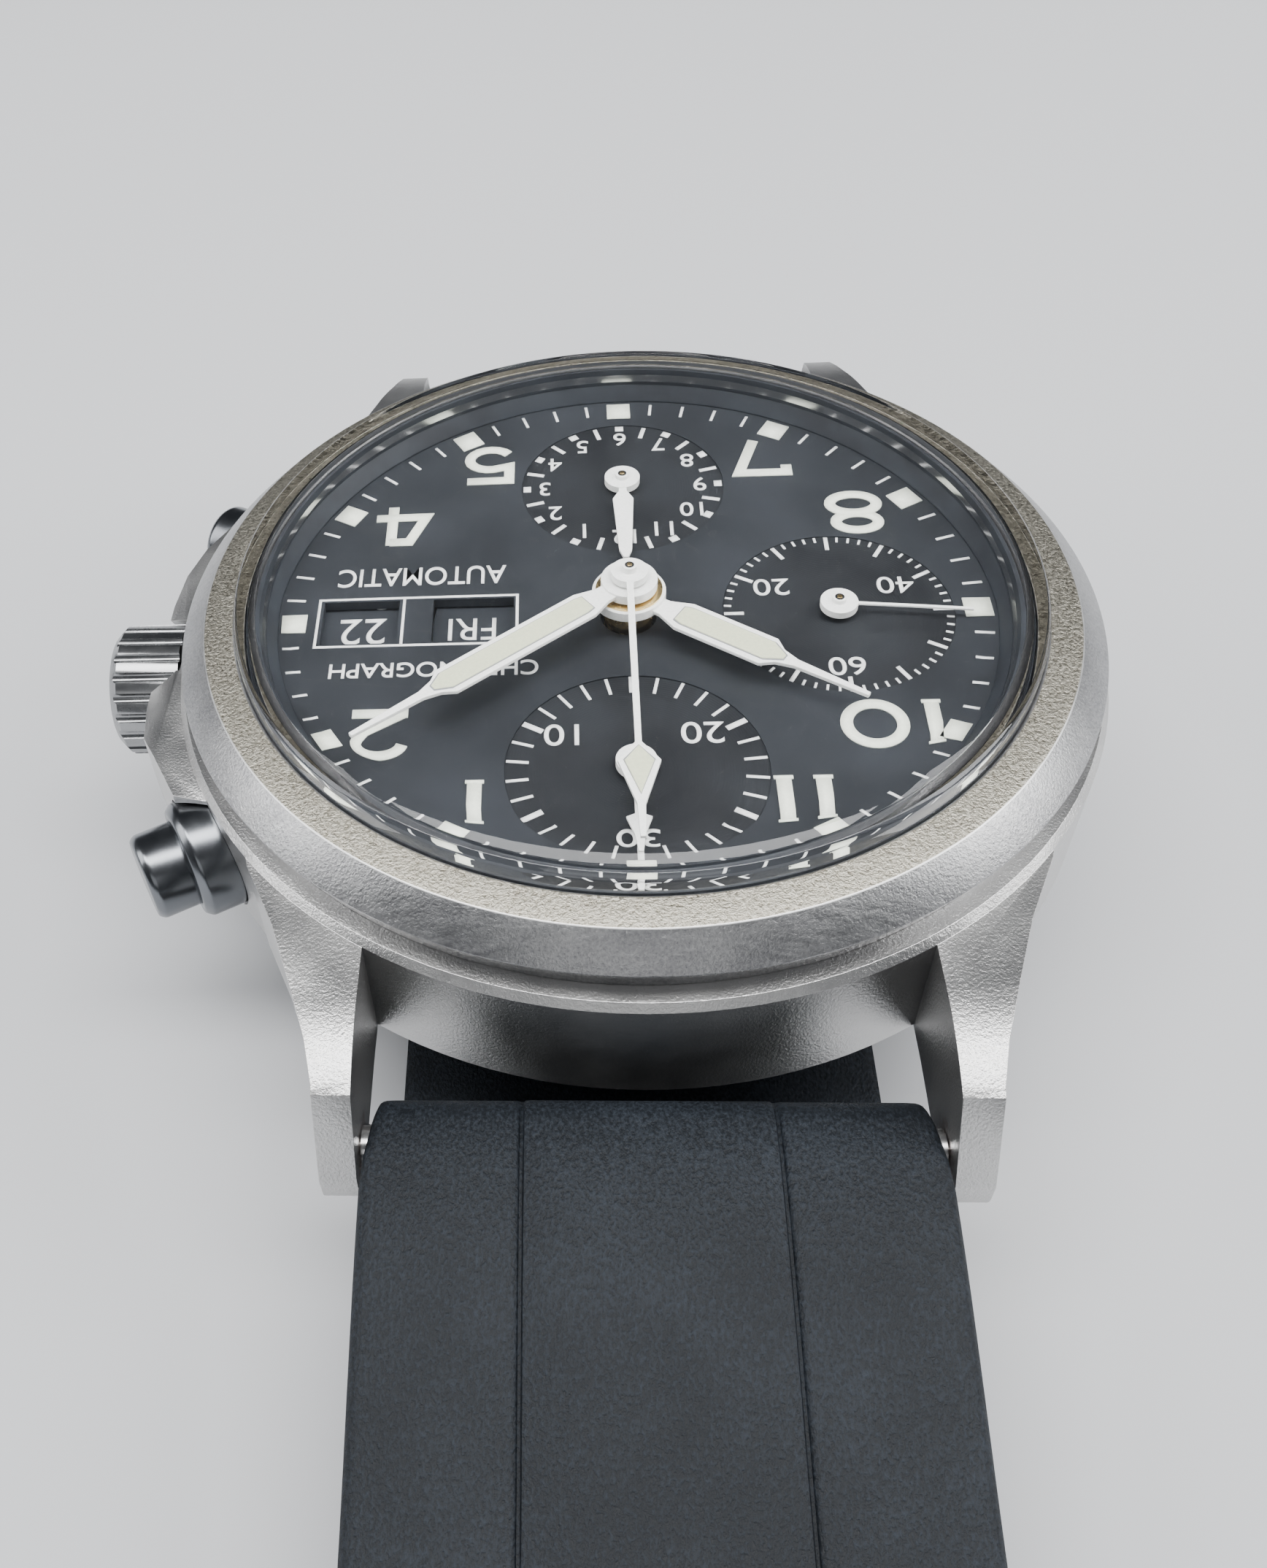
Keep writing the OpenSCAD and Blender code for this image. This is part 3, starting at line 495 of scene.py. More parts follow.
# %% Movement finishes
def spotted_plate(name, base):
    """Plated metal with perlage: rows of small turned spots."""
    material, tree, shader, place = start_finish(name, base, 1, 0.3)
    cells = tree.nodes.new("ShaderNodeTexVoronoi")
    cells.inputs["Scale"].default_value = 900
    cells.inputs["Randomness"].default_value = 0.15
    tree.links.new(place, cells.inputs["Vector"])
    swirl = calculated(tree, "SINE", calculated(tree, "MULTIPLY", cells.outputs["Distance"], 60))
    tone = noise_of(tree, place, 500, 3)
    tint_base(tree, shader, tone, tuple(0.85 * c for c in base), base)
    vary_roughness(tree, shader, cells.outputs["Distance"], 0.2, 0.4, 0, 0.7)
    bumped(tree, shader, swirl, 0.25, 0.000006)
    return material


def gilt_metal():
    material, tree, shader, place = start_finish("gilt_wheel", (0.8, 0.6, 0.28), 1, 0.25)
    tone = noise_of(tree, place, 1500, 4)
    tint_base(tree, shader, tone, (0.7, 0.5, 0.22), (0.85, 0.66, 0.33))
    vary_roughness(tree, shader, tone, 0.18, 0.32)
    bumped(tree, shader, noise_of(tree, place, 9000, 2), 0.15, 0.000003)
    return material


def ruby_bearing():
    material, tree, shader, place = start_finish("ruby_bearing", (0.5, 0.02, 0.08), 0, 0.08)
    shader.inputs["Coat Weight"].default_value = 0.5
    tone = noise_of(tree, place, 3000, 3)
    tint_base(tree, shader, tone, (0.4, 0.01, 0.06), (0.62, 0.04, 0.12))
    bumped(tree, shader, tone, 0.05, 0.000002)
    return material


plated = spotted_plate("plated_plate", (0.66, 0.63, 0.56))
gilt = gilt_metal()
blued = polished_steel("blued_steel", (0.08, 0.12, 0.38), 0.15)
ruby = ruby_bearing()
print("movement finishes", plated.name, gilt.name, blued.name, ruby.name)

# %% [markdown]
# ## Dress the CAD nodes
# Most solids of the movement keep their CAD shape and only need a finish. One table says which
# finish each takes, so a missing node is easy to spot.

# %% Finishes of the CAD nodes
FINISHES = {
    blasted: "midcase bezel case_back crown_tube start_tube reset_tube",
    polished: "winding_stem setting_lever cannon_pinion escape_wheel pallet_fork rotor_post "
              "case_clamps button_springs spring_bar_12 spring_bar_6",
    satin_side: "crown buckle_frame buckle_tongue buckle_bar",
    dark_polish: "start_button reset_button",
    acrylic: "crystal",
    dial_paint: "dial date_disc day_disc",
    flange_paint: "dial_flange tension_ring",
    rubber: "strap_buckle_half strap_hole_half fixed_keeper free_keeper",
    gasket_rubber: "back_gasket",
    plated: "mainplate barrel_bridge train_bridge chronograph_bridge balance_cock rotor movement_ring",
    gilt: "hour_wheel centre_wheel minute_wheel fourth_wheel third_wheel balance_wheel "
          "mainspring_barrel chrono_wheel minute_counter_wheel hour_counter_wheel",
    blued: "bridge_screws hairspring",
    ruby: "jewels",
    hand_white: "hour_hand minute_hand running_seconds_hand chrono_seconds_hand minute_counter_hand "
                "hour_counter_hand",
}
dressed = set()
for finish, names in FINISHES.items():
    for name in names.split():
        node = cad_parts[name]
        node.data.materials.clear()
        node.data.materials.append(finish)
        dressed.add(name)
print("dressed", len(dressed), "nodes, missing", sorted(set(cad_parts) - dressed))

# %% [markdown]
# ## Keeping a piece
# Every new mesh goes the same way: it takes its material, is shaded smooth except at its sharp
# edges, and is tied to the body that it moves with. One helper does that for all of them.

# %% Keep a mesh as a piece
def keep_piece(bm, name, body, material, sharp=35):
    mesh = bpy.data.meshes.new(name)
    bm.to_mesh(mesh)
    bm.free()
    mesh.materials.append(material)
    for polygon in mesh.polygons:
        polygon.use_smooth = True
    mesh.set_sharp_from_angle(angle=math.radians(sharp))
    piece = bpy.data.objects.new(name, mesh)
    bpy.context.collection.objects.link(piece)
    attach(piece, body)
    return piece


print("pieces can be kept")

# %% [markdown]
# ## Turned parts
# A ring, cap or disc is a profile spun round an axis, as on a lathe. Its corners are rounded
# first, because no real edge is razor sharp and the highlights live there.

# %% Turned parts
def softened(profile, size, steps=3):
    """Round every corner of a closed profile of (radius, height) points."""
    rounded = []
    count = len(profile)
    for i in range(count):
        here = Vector(profile[i])
        before, after = Vector(profile[i - 1]) - here, Vector(profile[(i + 1) % count]) - here
        reach = min(size, before.length / 2.2, after.length / 2.2)
        if here.x < 1e-6 or before.angle(after) > math.radians(165):
            rounded.append(here)
            continue
        a, b = here + before.normalized() * reach, here + after.normalized() * reach
        for k in range(steps + 1):
            t = k / steps
            rounded.append(a.lerp(here, t).lerp(here.lerp(b, t), t))
    return rounded


def turned(name, profile, body, material, place=Matrix(), round_size=0.04, steps=192):
    """Spin a closed profile, in millimetres, round +Z and put it in its place."""
    bm = bmesh.new()
    points = [bm.verts.new((p[0] * MM, 0, p[1] * MM)) for p in softened(profile, round_size)]
    edges = [bm.edges.new((points[i], points[i - 1])) for i in range(len(points))]
    bmesh.ops.spin(bm, geom=points + edges, cent=(0, 0, 0), axis=(0, 0, 1), dvec=(0, 0, 0),
                   angle=2 * math.pi, steps=steps, use_merge=True, use_duplicate=False)
    bmesh.ops.remove_doubles(bm, verts=bm.verts, dist=1e-7)
    bmesh.ops.recalc_face_normals(bm, faces=bm.faces)
    bmesh.ops.transform(bm, matrix=place, verts=bm.verts)
    piece = keep_piece(bm, name, body, material)
    print("turned", name, len(piece.data.polygons), "faces")
    return piece


print("lathe ready")

# %% [markdown]
# ## Softened copies
# Milled and stamped parts copy their CAD solid. The copy is merged, its flat faces are joined
# again, and a fine bevel breaks its edges, which is quicker and truer than modelling it twice.

# %% Softened copies
EDGE_ANGLE = math.radians(30)


def softened_copy(name, node, body, material, width, segments=2):
    """A copy of a CAD solid whose edges are broken by a fine bevel."""
    bm = bmesh.new()
    bm.from_mesh(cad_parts[node].data)
    bmesh.ops.remove_doubles(bm, verts=bm.verts, dist=2e-6)
    bmesh.ops.dissolve_limit(bm, angle_limit=math.radians(0.6), verts=bm.verts, edges=bm.edges)
    piece = keep_piece(bm, name, body, material)
    bevel = piece.modifiers.new("broken_edges", "BEVEL")
    bevel.width = width * MM
    bevel.segments = segments
    bevel.limit_method = "ANGLE"
    bevel.angle_limit = EDGE_ANGLE
    bevel.use_clamp_overlap = True
    bevel.harden_normals = True
    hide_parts(node)
    print("softened", name, len(piece.data.polygons), "faces")


print("bevelling ready")

# %% [markdown]
# ## Growing a chain of edges
# Print and straps are drawn along a line. A chain of edges is extruded from station to station,
# which leaves clean strips of faces in the order of the line.

# %% Extrude a chain of edges
def grow(bm, chain, closed, points):
    """Extrude a chain of edges to new points; the new chain keeps its order."""
    pairs = list(zip(chain, chain[1:])) + ([(chain[-1], chain[0])] if closed else [])
    made = bmesh.ops.extrude_edge_only(bm, edges=[bm.edges.get(pair) for pair in pairs])["geom"]
    fresh = {g for g in made if isinstance(g, bmesh.types.BMVert)}
    twins = [next(e.other_vert(v) for e in v.link_edges if e.other_vert(v) in fresh) for v in chain]
    for twin, point in zip(twins, points):
        twin.co = point
    return twins


print("extruding ready")

# %% [markdown]
# ## Case
# The midcase and lugs are one machined block. Its copy gets a bevel wide enough to draw the
# bright line that runs along every edge. The bezel is turned afresh, so that its two cones stay
# perfectly round close up, and its faces are shared between three finishes. The third, a lighter
# steel on the rounded edge between the cone and the flat ring, is a painted highlight.

# %% Midcase, back and bezel
softened_copy("case_body", "midcase", "case", blasted, 0.09, 3)
softened_copy("case_back_soft", "case_back", "case", satin_side, 0.12)


def above_rim(*profile):
    """Profile points whose heights are counted from the case's rim."""
    return [(radius, RIM_Z + height) for radius, height in profile]


bezel_profile = above_rim((15.8, 0.3), (18.3, 0.3), (18.3, 1.4), (18.78, 1.45), (18.88, 1.6),
                          (17.7, 2.74), (16.5, 2.88), (16.4, 2.8), (16.4, 1.3), (15.8, 1.3))
bezel_piece = turned("bezel_ring", bezel_profile, "case", satin, round_size=0.05, steps=256)
bezel_piece.data.materials.append(slope)
bezel_piece.data.materials.append(edge_highlight_steel)
for polygon in bezel_piece.data.polygons:
    radius = math.hypot(polygon.center.x, polygon.center.y) / MM
    if polygon.normal.z > 0.96:
        polygon.material_index = 1
    # The rounded edge between the cone and the flat ring takes the lighter steel: a painted highlight.
    elif polygon.normal.z > 0.76 and radius > 17:
        polygon.material_index = 2
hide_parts("bezel")

# %% [markdown]
# ## Crystal
# The dome is two shallow spheres, one inside the other, with a wall that stands in the bezel.
# It casts no shadow of its own, because a clear crystal hardly dims what lies under it.

# %% Domed crystal
def dome(top, rise, radius, count=24):
    """Half the outline of a shallow sphere, from its middle out."""
    big = (radius * radius + rise * rise) / (2 * rise)
    return [(radius * i / count, top - big + math.sqrt(big * big - (radius * i / count) ** 2))
            for i in range(count + 1)]


crystal_top = top_of("crystal")
outer = dome(crystal_top, 1.6, 15.9)
shoulder = [(15.97 + 0.4 * math.cos(math.radians(a)), RIM_Z + 3.4 + 0.4 * math.sin(math.radians(a)))
            for a in (60, 45, 30, 15, 0)]
wall = above_rim((16.37, 1.3), (15.65, 1.3), (15.65, 2.5), (15.4, 2.9))
inner = dome(crystal_top - 1.5, 0.8, 14.8)
crystal_profile = outer + shoulder + wall + inner[::-1]
crystal_piece = turned("domed_crystal", crystal_profile, "case", acrylic, round_size=0.03, steps=256)
crystal_piece.visible_shadow = False
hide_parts("crystal")

# %% [markdown]
# ## Tension ring and flange
# A steel ring inside the wall of the crystal keeps it tight in the bezel. Only a narrow polished
# band of it is bright; the rest of the ring takes the flange's dark paint, as painted shade under
# the crystal's wall. Below it a dark flange slopes down to the dial.

# %% Tension ring and flange
BAND_LOW, BAND_HIGH = 1.5, 1.95
ring_profile = above_rim((15.32, 1.3), (15.62, 1.3), (15.62, 2.4), (15.38, 2.4), (15.36, BAND_HIGH),
                         (15.33, BAND_LOW))
tension = turned("tension_ring_banded", ring_profile, "case", flange_paint, round_size=0.02)
tension.data.materials.append(polished)
# Faces outside the band keep the flange's dark paint: painted shade under the crystal's wall.
for polygon in tension.data.polygons:
    inside = math.hypot(polygon.center.x, polygon.center.y) < 15.5 * MM
    if inside and BAND_LOW < polygon.center.z / MM - RIM_Z < BAND_HIGH:
        polygon.material_index = 1
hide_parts("tension_ring")
flange_profile = [(14.85, DIAL_Z), (15.75, DIAL_Z)] + above_rim((15.75, 1.3), (15.35, 1.3))
flange_profile.append((14.85, DIAL_Z + 0.08))
flange = turned("flange_slope", flange_profile, "case", flange_paint)
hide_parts("dial_flange")

# %% [markdown]
# ## Drawing on the dial
# Print is drawn as flat strokes. A stroke starts as one short edge across its width and is
# extruded from point to point, turning half-way at each corner so that its width stays even.

# %% Strokes and ticks
def stroke(bm, points, width, centre=(0, 0), z=0.0):
    """One flat stroke through points, in millimetres, placed at centre."""
    way = [Vector(p) + Vector(centre) for p in points]
    closed = (way[0] - way[-1]).length < 1e-6
    if closed:
        way.pop()
    sides = []
    for i, here in enumerate(way):
        before = way[i - 1] if closed or i else None
        after = way[(i + 1) % len(way)] if closed or i < len(way) - 1 else None
        into = (here - before).normalized() if before else (after - here).normalized()
        out = (after - here).normalized() if after else into
        across = (into + out).orthogonal().normalized()
        reach = width / 2 / max(0.4, across.dot(into.orthogonal()))
        sides.append([Vector((*(here + across * k * reach), z)) * MM for k in (1, -1)])
    chain = [bm.verts.new(p) for p in sides[0]]
    bm.edges.new(chain)
    for pair in sides[1:] + ([sides[0]] if closed else []):
        chain = grow(bm, chain, False, pair)


def tick(bm, inner_r, outer_r, width, angle, centre=(0, 0), z=0.0):
    a = math.radians(angle)
    out = Vector((math.sin(a), math.cos(a)))
    stroke(bm, [out * inner_r, out * outer_r], width, centre, z)


print("strokes ready")

# %% [markdown]
# ## Words and ink
# Plain words come from Blender's own lettering, made a mesh and scaled to their height. All
# flat print then gets a hair of thickness, as wet ink does.

# %% Words and ink
def word(bm, text, height, centre, z, turn=0.0, wide=1.0, bold=0.0):
    """Generic lettering as flat faces, upright towards 12 unless it is turned."""
    curve = bpy.data.curves.new("word", "FONT")
    curve.body = text
    curve.size = 1
    curve.align_x = "CENTER"
    curve.align_y = "CENTER"
    curve.offset = bold
    holder = bpy.data.objects.new("word", curve)
    bpy.context.collection.objects.link(holder)
    bpy.context.view_layer.update()
    shown = holder.evaluated_get(bpy.context.evaluated_depsgraph_get())
    mesh = bpy.data.meshes.new_from_object(shown)
    ys = [v.co.y for v in mesh.vertices]
    xs = [v.co.x for v in mesh.vertices]
    middle = Vector(((max(xs) + min(xs)) / 2, (max(ys) + min(ys)) / 2, 0))
    size = height / (max(ys) - min(ys)) * MM
    mesh.transform(Matrix.Translation((centre[0] * MM, centre[1] * MM, z * MM))
                   @ Matrix.Rotation(-turn, 4, "Z") @ Matrix.Diagonal((size * wide, size, size, 1))
                   @ Matrix.Translation(-middle))
    bm.from_mesh(mesh)
    bpy.data.objects.remove(holder)
    bpy.data.meshes.remove(mesh)


def keep_print(bm, name, body, material, thickness):
    """Turn flat print up and give it thickness, from a hair below its level."""
    bmesh.ops.remove_doubles(bm, verts=bm.verts, dist=1e-8)
    for face in bm.faces:
        face.normal_update()
        if face.normal.z < 0:
            face.normal_flip()
    piece = keep_piece(bm, name, body, material)
    solid = piece.modifiers.new("ink_thickness", "SOLIDIFY")
    solid.thickness = thickness * MM
    solid.offset = 0.9
    print("printed", name, len(piece.data.polygons), "faces")


print("lettering ready")

# %% [markdown]
# ## Hour numerals
# The big numerals are lume, so they are thicker than the ink. Each is a list of strokes round
# its own middle, wide and low like the real ones. The 1 is a bar with small flared feet.

# %% Numerals and hour squares
def arc(cx, cy, rx, ry, start, end, count=14):
    angles = [math.radians(start + (end - start) * i / count) for i in range(count + 1)]
    return [(cx + rx * math.cos(a), cy + ry * math.sin(a)) for a in angles]


NUMERALS = {
    "1": [[(0, -1.16), (0, 1.16)], [(-0.36, 1.13), (0.36, 1.13)], [(-0.36, -1.13), (0.36, -1.13)]],
    "2": [arc(-0.02, 0.5, 0.93, 0.66, 172, -18) + [(0.62, -0.12), (-0.95, -1.12)],
          [(-1.1, -1.12), (1.15, -1.12)]],
    "4": [[(0.5, 1.3), (0.5, -1.3)], [(0.55, 1.12), (-0.32, 1.12), (-1.0, -0.55), (1.25, -0.55)]],
    "5": [[(1.0, 1.15), (-0.92, 1.15), (-0.92, 0.12)] + arc(-0.02, -0.42, 0.95, 0.74, 118, -150)],
    "7": [[(-1.1, 0.55), (-1.1, 1.06), (1.02, 1.06), (0.2, -1.28)]],
    "8": [arc(-0.03, 0.62, 0.9, 0.55, 0, 360, 28), arc(0, -0.6, 1.0, 0.62, 0, 360, 28)],
    "0": [arc(0, 0, 1.06, 1.04, 0, 360, 36)],
}
DIGITS = [
    ("1", (6.1, 10.2)), ("2", (9.95, 6.5)), ("4", (9.75, -6.2)), ("5", (6.0, -10.3)),
    ("7", (-6.25, -10.15)), ("8", (-9.95, -6.15)), ("0", (-9.1, 6.4)), ("1", (-11.35, 6.4)),
    ("1", (-5.4, 10.2)), ("1", (-6.85, 10.2)),
]
STROKE_WIDTH, ONE_BAR, ONE_FOOT = 0.47, 0.56, 0.16
LAYER = 0.002
bm = bmesh.new()
for digit, centre in DIGITS:
    for i, points in enumerate(NUMERALS[digit]):
        width = STROKE_WIDTH if digit != "1" else (ONE_FOOT if i else ONE_BAR)
        stroke(bm, points, width, centre, DIAL_Z + LAYER * i)
for hour in range(12):
    tick(bm, 13.52, 14.64, 1.08, 30 * hour, z=DIAL_Z)
keep_print(bm, "hour_numerals", "case", dial_lume, 0.05)

# %% [markdown]
# ## Minute track, frames and words
# The fine print is ink: a tick for each minute between the hours, the frame round the two
# windows, and plain words. Strokes and lettering share one mesh, as one print would.

# %% Main dial print
bm = bmesh.new()
for minute in range(60):
    if minute % 5:
        tick(bm, 13.78, 14.6, 0.13, 6 * minute, z=DIAL_Z)
LINE = 0.12
window = [(4.6, -1.45), (13.05, -1.45), (13.05, 1.45), (4.6, 1.45), (4.6, -1.45)]
stroke(bm, window, LINE, z=DIAL_Z)
stroke(bm, [(9.4, -1.4), (9.4, 1.4)], LINE, z=DIAL_Z)
word(bm, "AUTOMATIC", 1.15, (8.75, -2.8), DIAL_Z, wide=0.78, bold=0.006)
word(bm, "CHRONOGRAPH", 0.85, (8.0, 2.9), DIAL_Z, wide=0.95, bold=0.008)
keep_print(bm, "dial_print", "case", print_ink, 0.02)

# %% [markdown]
# ## Counters
# Each counter is a shallow turned recess in the dial. A thin disc with fine turned rings is its
# floor, made on its own so that it catches the light apart from the flat dial.

# %% Counter discs
COUNTERS = {"minutes": ((0, 8.5), 4.98), "hours": ((0, -8.5), 4.48), "seconds": ((-8.5, 0), 4.63)}
MINUTES_AT, HOURS_AT, SECONDS_AT = (COUNTERS[name][0] for name in ("minutes", "hours", "seconds"))
COUNTER_Z, DISC = DIAL_Z - 0.06, 0.02


def shift_to(centre):
    return Matrix.Translation((centre[0] * MM, centre[1] * MM, 0))


for name, (centre, size) in COUNTERS.items():
    finish = counter_black("counter_" + name, (centre[0] * MM, centre[1] * MM))
    profile = [(0.36, COUNTER_Z), (size, COUNTER_Z), (size, COUNTER_Z + DISC), (0.36, COUNTER_Z + DISC)]
    turned("counter_disc_" + name, profile, "case", finish, shift_to(centre), 0.003, 128)

# %% [markdown]
# ## The counters' scales
# The small seconds have sixty dashes, the minute counter thirty, and the hour counter twelve
# numbers with a square outside each and a dash between. All are the dial's ink, and sit a hair
# above the disc.

# %% Counter scales
level = COUNTER_Z + DISC + 0.001
bm = bmesh.new()
for step in range(30):
    long_one = step % 5 == 0
    tick(bm, 4.08, 4.95, 0.24 if long_one else 0.13, 12 * step, MINUTES_AT, level)
for step in range(60):
    long_one = step % 5 == 0
    tick(bm, 3.8 if long_one else 4.3, 4.6, 0.17 if long_one else 0.1, 6 * step, SECONDS_AT, level)
for half in range(24):
    if half % 2:
        tick(bm, 3.62, 4.4, 0.19, 15 * half, HOURS_AT, level)
    else:
        tick(bm, 4.08, 4.42, 0.38, 15 * half, HOURS_AT, level)
for text, centre in (("10", (2.8, 6.65)), ("20", (-2.6, 6.65)), ("30", (0.05, 12.0))):
    word(bm, text, 1.12, centre, level, wide=1.1, bold=0.002)
for text, centre in (("20", (-5.95, -1.55)), ("40", (-11.0, -1.5)), ("60", (-8.47, 3.2))):
    word(bm, text, 1.0, centre, level, wide=1.1, bold=0.002)
for hour in range(1, 13):
    a = math.radians(30 * hour)
    word(bm, str(hour), 0.92, (3.45 * math.sin(a), -8.5 + 3.45 * math.cos(a)), level, bold=0.006)
keep_print(bm, "counter_print", "case", print_ink, 0.02)

# %% [markdown]
# ## Day and date
# The discs turn under the dial, so each carries its own print and shows one word or number in
# its window. Every label is turned to stand upright when it comes to 3 o'clock.

# %% Day and date labels
disc_top = top_of("date_disc")
bm = bmesh.new()
for day in range(31):
    turn = 2 * math.pi * (day - 21) / 31
    centre = (11.15 * math.cos(turn), -11.15 * math.sin(turn))
    word(bm, str(day + 1), 1.55, centre, disc_top + 0.001, turn, 0.95)
keep_print(bm, "date_numbers", "date_disc", print_ink, 0.02)
bm = bmesh.new()
for index, day in enumerate(("FRI", "SAT", "SUN", "MON", "TUE", "WED", "THU")):
    turn = 2 * math.pi * index / 7
    centre = (6.5 * math.cos(turn), -6.5 * math.sin(turn))
    word(bm, day, 1.3, centre, disc_top + 0.001, turn, 0.9)
keep_print(bm, "day_names", "day_disc", print_ink, 0.02)

# %% [markdown]
# ## Hands
# The hands are stamped and painted white. The CAD solids give their outlines, and a fine bevel
# rounds their edges as a coat of paint does.

# %% Softened hands
for body in ("hour_hand", "minute_hand", "chrono_seconds", "minute_counter", "hour_counter",
             "running_seconds"):
    node = body if body.endswith("_hand") else body + "_hand"
    softened_copy(node + "_painted", node, body, hand_white, 0.03)

# %% [markdown]
# ## Lume of the hands
# The wide hands are filled with cream lume, and a thin grey line runs round it. Both are flat
# outlines raised a little and softly rounded, the lume higher than the line.

# %% Lume of the hands
MINUTE_TURN, HOUR_TURN = 52.5, 304.375


def inlay(name, outline, body, material, z, height, turn=0.0):
    """A thin raised shape; outline lists (half width, radius) up one side of its hand."""
    bm = bmesh.new()
    spin = Matrix.Rotation(-math.radians(turn), 2)
    side = [p for p in outline if p[0] > 0]
    points = [spin @ Vector(p) for p in outline] + [spin @ Vector((-x, y)) for x, y in side[::-1]]
    verts = [bm.verts.new((p.x * MM, p.y * MM, z * MM)) for p in points]
    edges = [bm.edges.new((verts[k - 1], verts[k])) for k in range(len(verts))]
    bmesh.ops.contextual_create(bm, geom=edges)
    made = bmesh.ops.extrude_face_region(bm, geom=list(bm.faces), use_keep_orig=True)["geom"]
    raised = [g for g in made if isinstance(g, bmesh.types.BMVert)]
    bmesh.ops.translate(bm, verts=raised, vec=(0, 0, height * MM))
    bmesh.ops.recalc_face_normals(bm, faces=bm.faces)
    piece = keep_piece(bm, name, body, material)
    bevel = piece.modifiers.new("rounded_edge", "BEVEL")
    bevel.width = 0.4 * height * MM
    bevel.segments = 2
    bevel.angle_limit = math.radians(40)


def lumed(name, outline, body, z, turn=0.0):
    """A grey line round the lume and the lume itself, which fills the hand's frame."""
    middle = (outline[0][1] + outline[-1][1]) / 2
    wide = [(x + 0.045 if x else 0, y + (0.05 if y > middle else -0.05)) for x, y in outline]
    inlay(name + "_line", wide, body, grey_line, z - 0.01, 0.025, turn)
    inlay(name, outline, body, hand_lume, z - 0.01, 0.055, turn)
    print("lume on", name)


lumed("minute_lume", [(0.4, 2.15), (0.47, 2.5), (0.47, 9.1), (0.12, 9.75)], "minute_hand",
      DIAL_Z + 1.76, MINUTE_TURN)
lumed("hour_lume", [(0.42, 2.4), (0.52, 2.75), (0.52, 6.4), (0.12, 7.1)], "hour_hand",
      DIAL_Z + 1.16, HOUR_TURN)
lumed("chrono_lume", [(0, 9.65), (0.54, 10.38), (0, 11.95)], "chrono_seconds", DIAL_Z + 2.24)

# %% [markdown]
# ## Hubs
# Each hand sits on a pivot: a bright pin in the middle of the hub. A thin dark disc round the pin
# is painted shade, standing in for the gap round the pivot. The hour hand's hub shows the brass of
# its wheel.

# %% Pivots and the brass bush
for name, centre, body, height in (("chrono", (0, 0), "chrono_seconds", 2.5),
                                   ("minutes", MINUTES_AT, "minute_counter", 0.68),
                                   ("hours", HOURS_AT, "hour_counter", 0.68),
                                   ("seconds", SECONDS_AT, "running_seconds", 0.68)):
    z = DIAL_Z + height
    # A dark disc round the pin is painted shade for the gap round the pivot.
    gap_shade_disc = [(0, z - 0.02), (0.19, z - 0.02), (0.19, z + 0.01), (0, z + 0.01)]
    turned(name + "_gap", gap_shade_disc, body, dark_polish, shift_to(centre), 0.004, 48)
    pin = [(0, z), (0.11, z), (0.11, z + 0.03), (0, z + 0.05)]
    turned(name + "_pin", pin, body, gilt, shift_to(centre), 0.015, 48)
bush_z = DIAL_Z + 1.28
bush = [(1.0, bush_z), (1.36, bush_z), (1.36, bush_z + 0.08), (1.0, bush_z + 0.08)]
turned("brass_bush", bush, "hour_hand", gilt, round_size=0.02, steps=96)

# %% [markdown]
# ## Crown and buttons
# The crown keeps its CAD flutes and gets broken edges. The buttons and their collars are turned
# afresh: a cap with a rounded rim that slides in a collar.

# %% Crown, buttons and collars
BUTTON_ANGLE, BUTTON_Z = 29, HEAD_Z + 6.6
CAP = [(0, 22.55), (1.62, 22.55), (1.8, 22.3), (1.8, 20.5), (0.55, 20.5), (0.55, 15.9), (0, 15.9)]
COLLAR = [(0.95, 15.9), (0.95, 18.6), (2.45, 18.6), (2.45, 20.5), (2.2, 20.8), (1.85, 20.8),
          (1.85, 19.6), (0.62, 19.6), (0.62, 18.9), (0.75, 18.9), (0.75, 15.9)]
softened_copy("fluted_crown", "crown", "crown", satin_side, 0.07)
for side, node in ((1, "start"), (-1, "reset")):
    place = (Matrix.Translation((0, 0, BUTTON_Z * MM))
             @ Matrix.Rotation(math.radians(BUTTON_ANGLE * side), 4, "Z")
             @ Matrix.Rotation(math.pi / 2, 4, "Y"))
    cap = turned(node + "_cap", CAP, node + "_button", dark_polish, place, 0.12, 96)
    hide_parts(node + "_button")
    collar = turned(node + "_collar", COLLAR, "case", dark_polish, place, 0.1, 96)
    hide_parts(node + "_tube")

# %% [markdown]
# ## Strap
# Each half of the moulded strap has the same cross-section: rounded edges, and two creases that
# leave the middle band slightly proud. Lists of points keep it even where the strap thins.

# %% Strap section
HALF = 1.4
GROOVE = 4.33


def section(half_width, thick, proud=0.1):
    """Points once round, as (across, out of the face). The middle band is highest."""
    soft = min(1.0, thick / HALF)
    w, edge, crease, band = half_width, 0.42 * soft, -0.14 * soft, proud * soft
    face = [(-w, -edge * 1.2), (-w + 0.05, -edge * 0.55), (-w + 0.2, -edge * 0.16), (-w + 0.5, 0),
            (-w * 0.72, 0), (-GROOVE - 0.3, 0), (-GROOVE - 0.13, -0.03), (-GROOVE - 0.06, crease),
            (-GROOVE + 0.04, crease), (-GROOVE + 0.1, band / 2), (-GROOVE + 0.25, band),
            (-GROOVE * 0.5, band), (0, band)]
    face += [(-x, h) for x, h in face[-2::-1]]
    under = [(w - 0.1, 0.12 * soft), (w - 0.5, 0), (w * 0.5, 0)]
    under += [(-x, h) for x, h in under[::-1]]
    return [(x, thick + h - band) for x, h in face] + [(x, h - thick) for x, h in under]


print("a section has", len(section(9.8, HALF)), "points")

# %% [markdown]
# ## Sweeping a strap half
# Each station has a place, a slope, a thickness and a width. The section is set up there and
# its ring of edges extruded to it. At last both ends are closed.

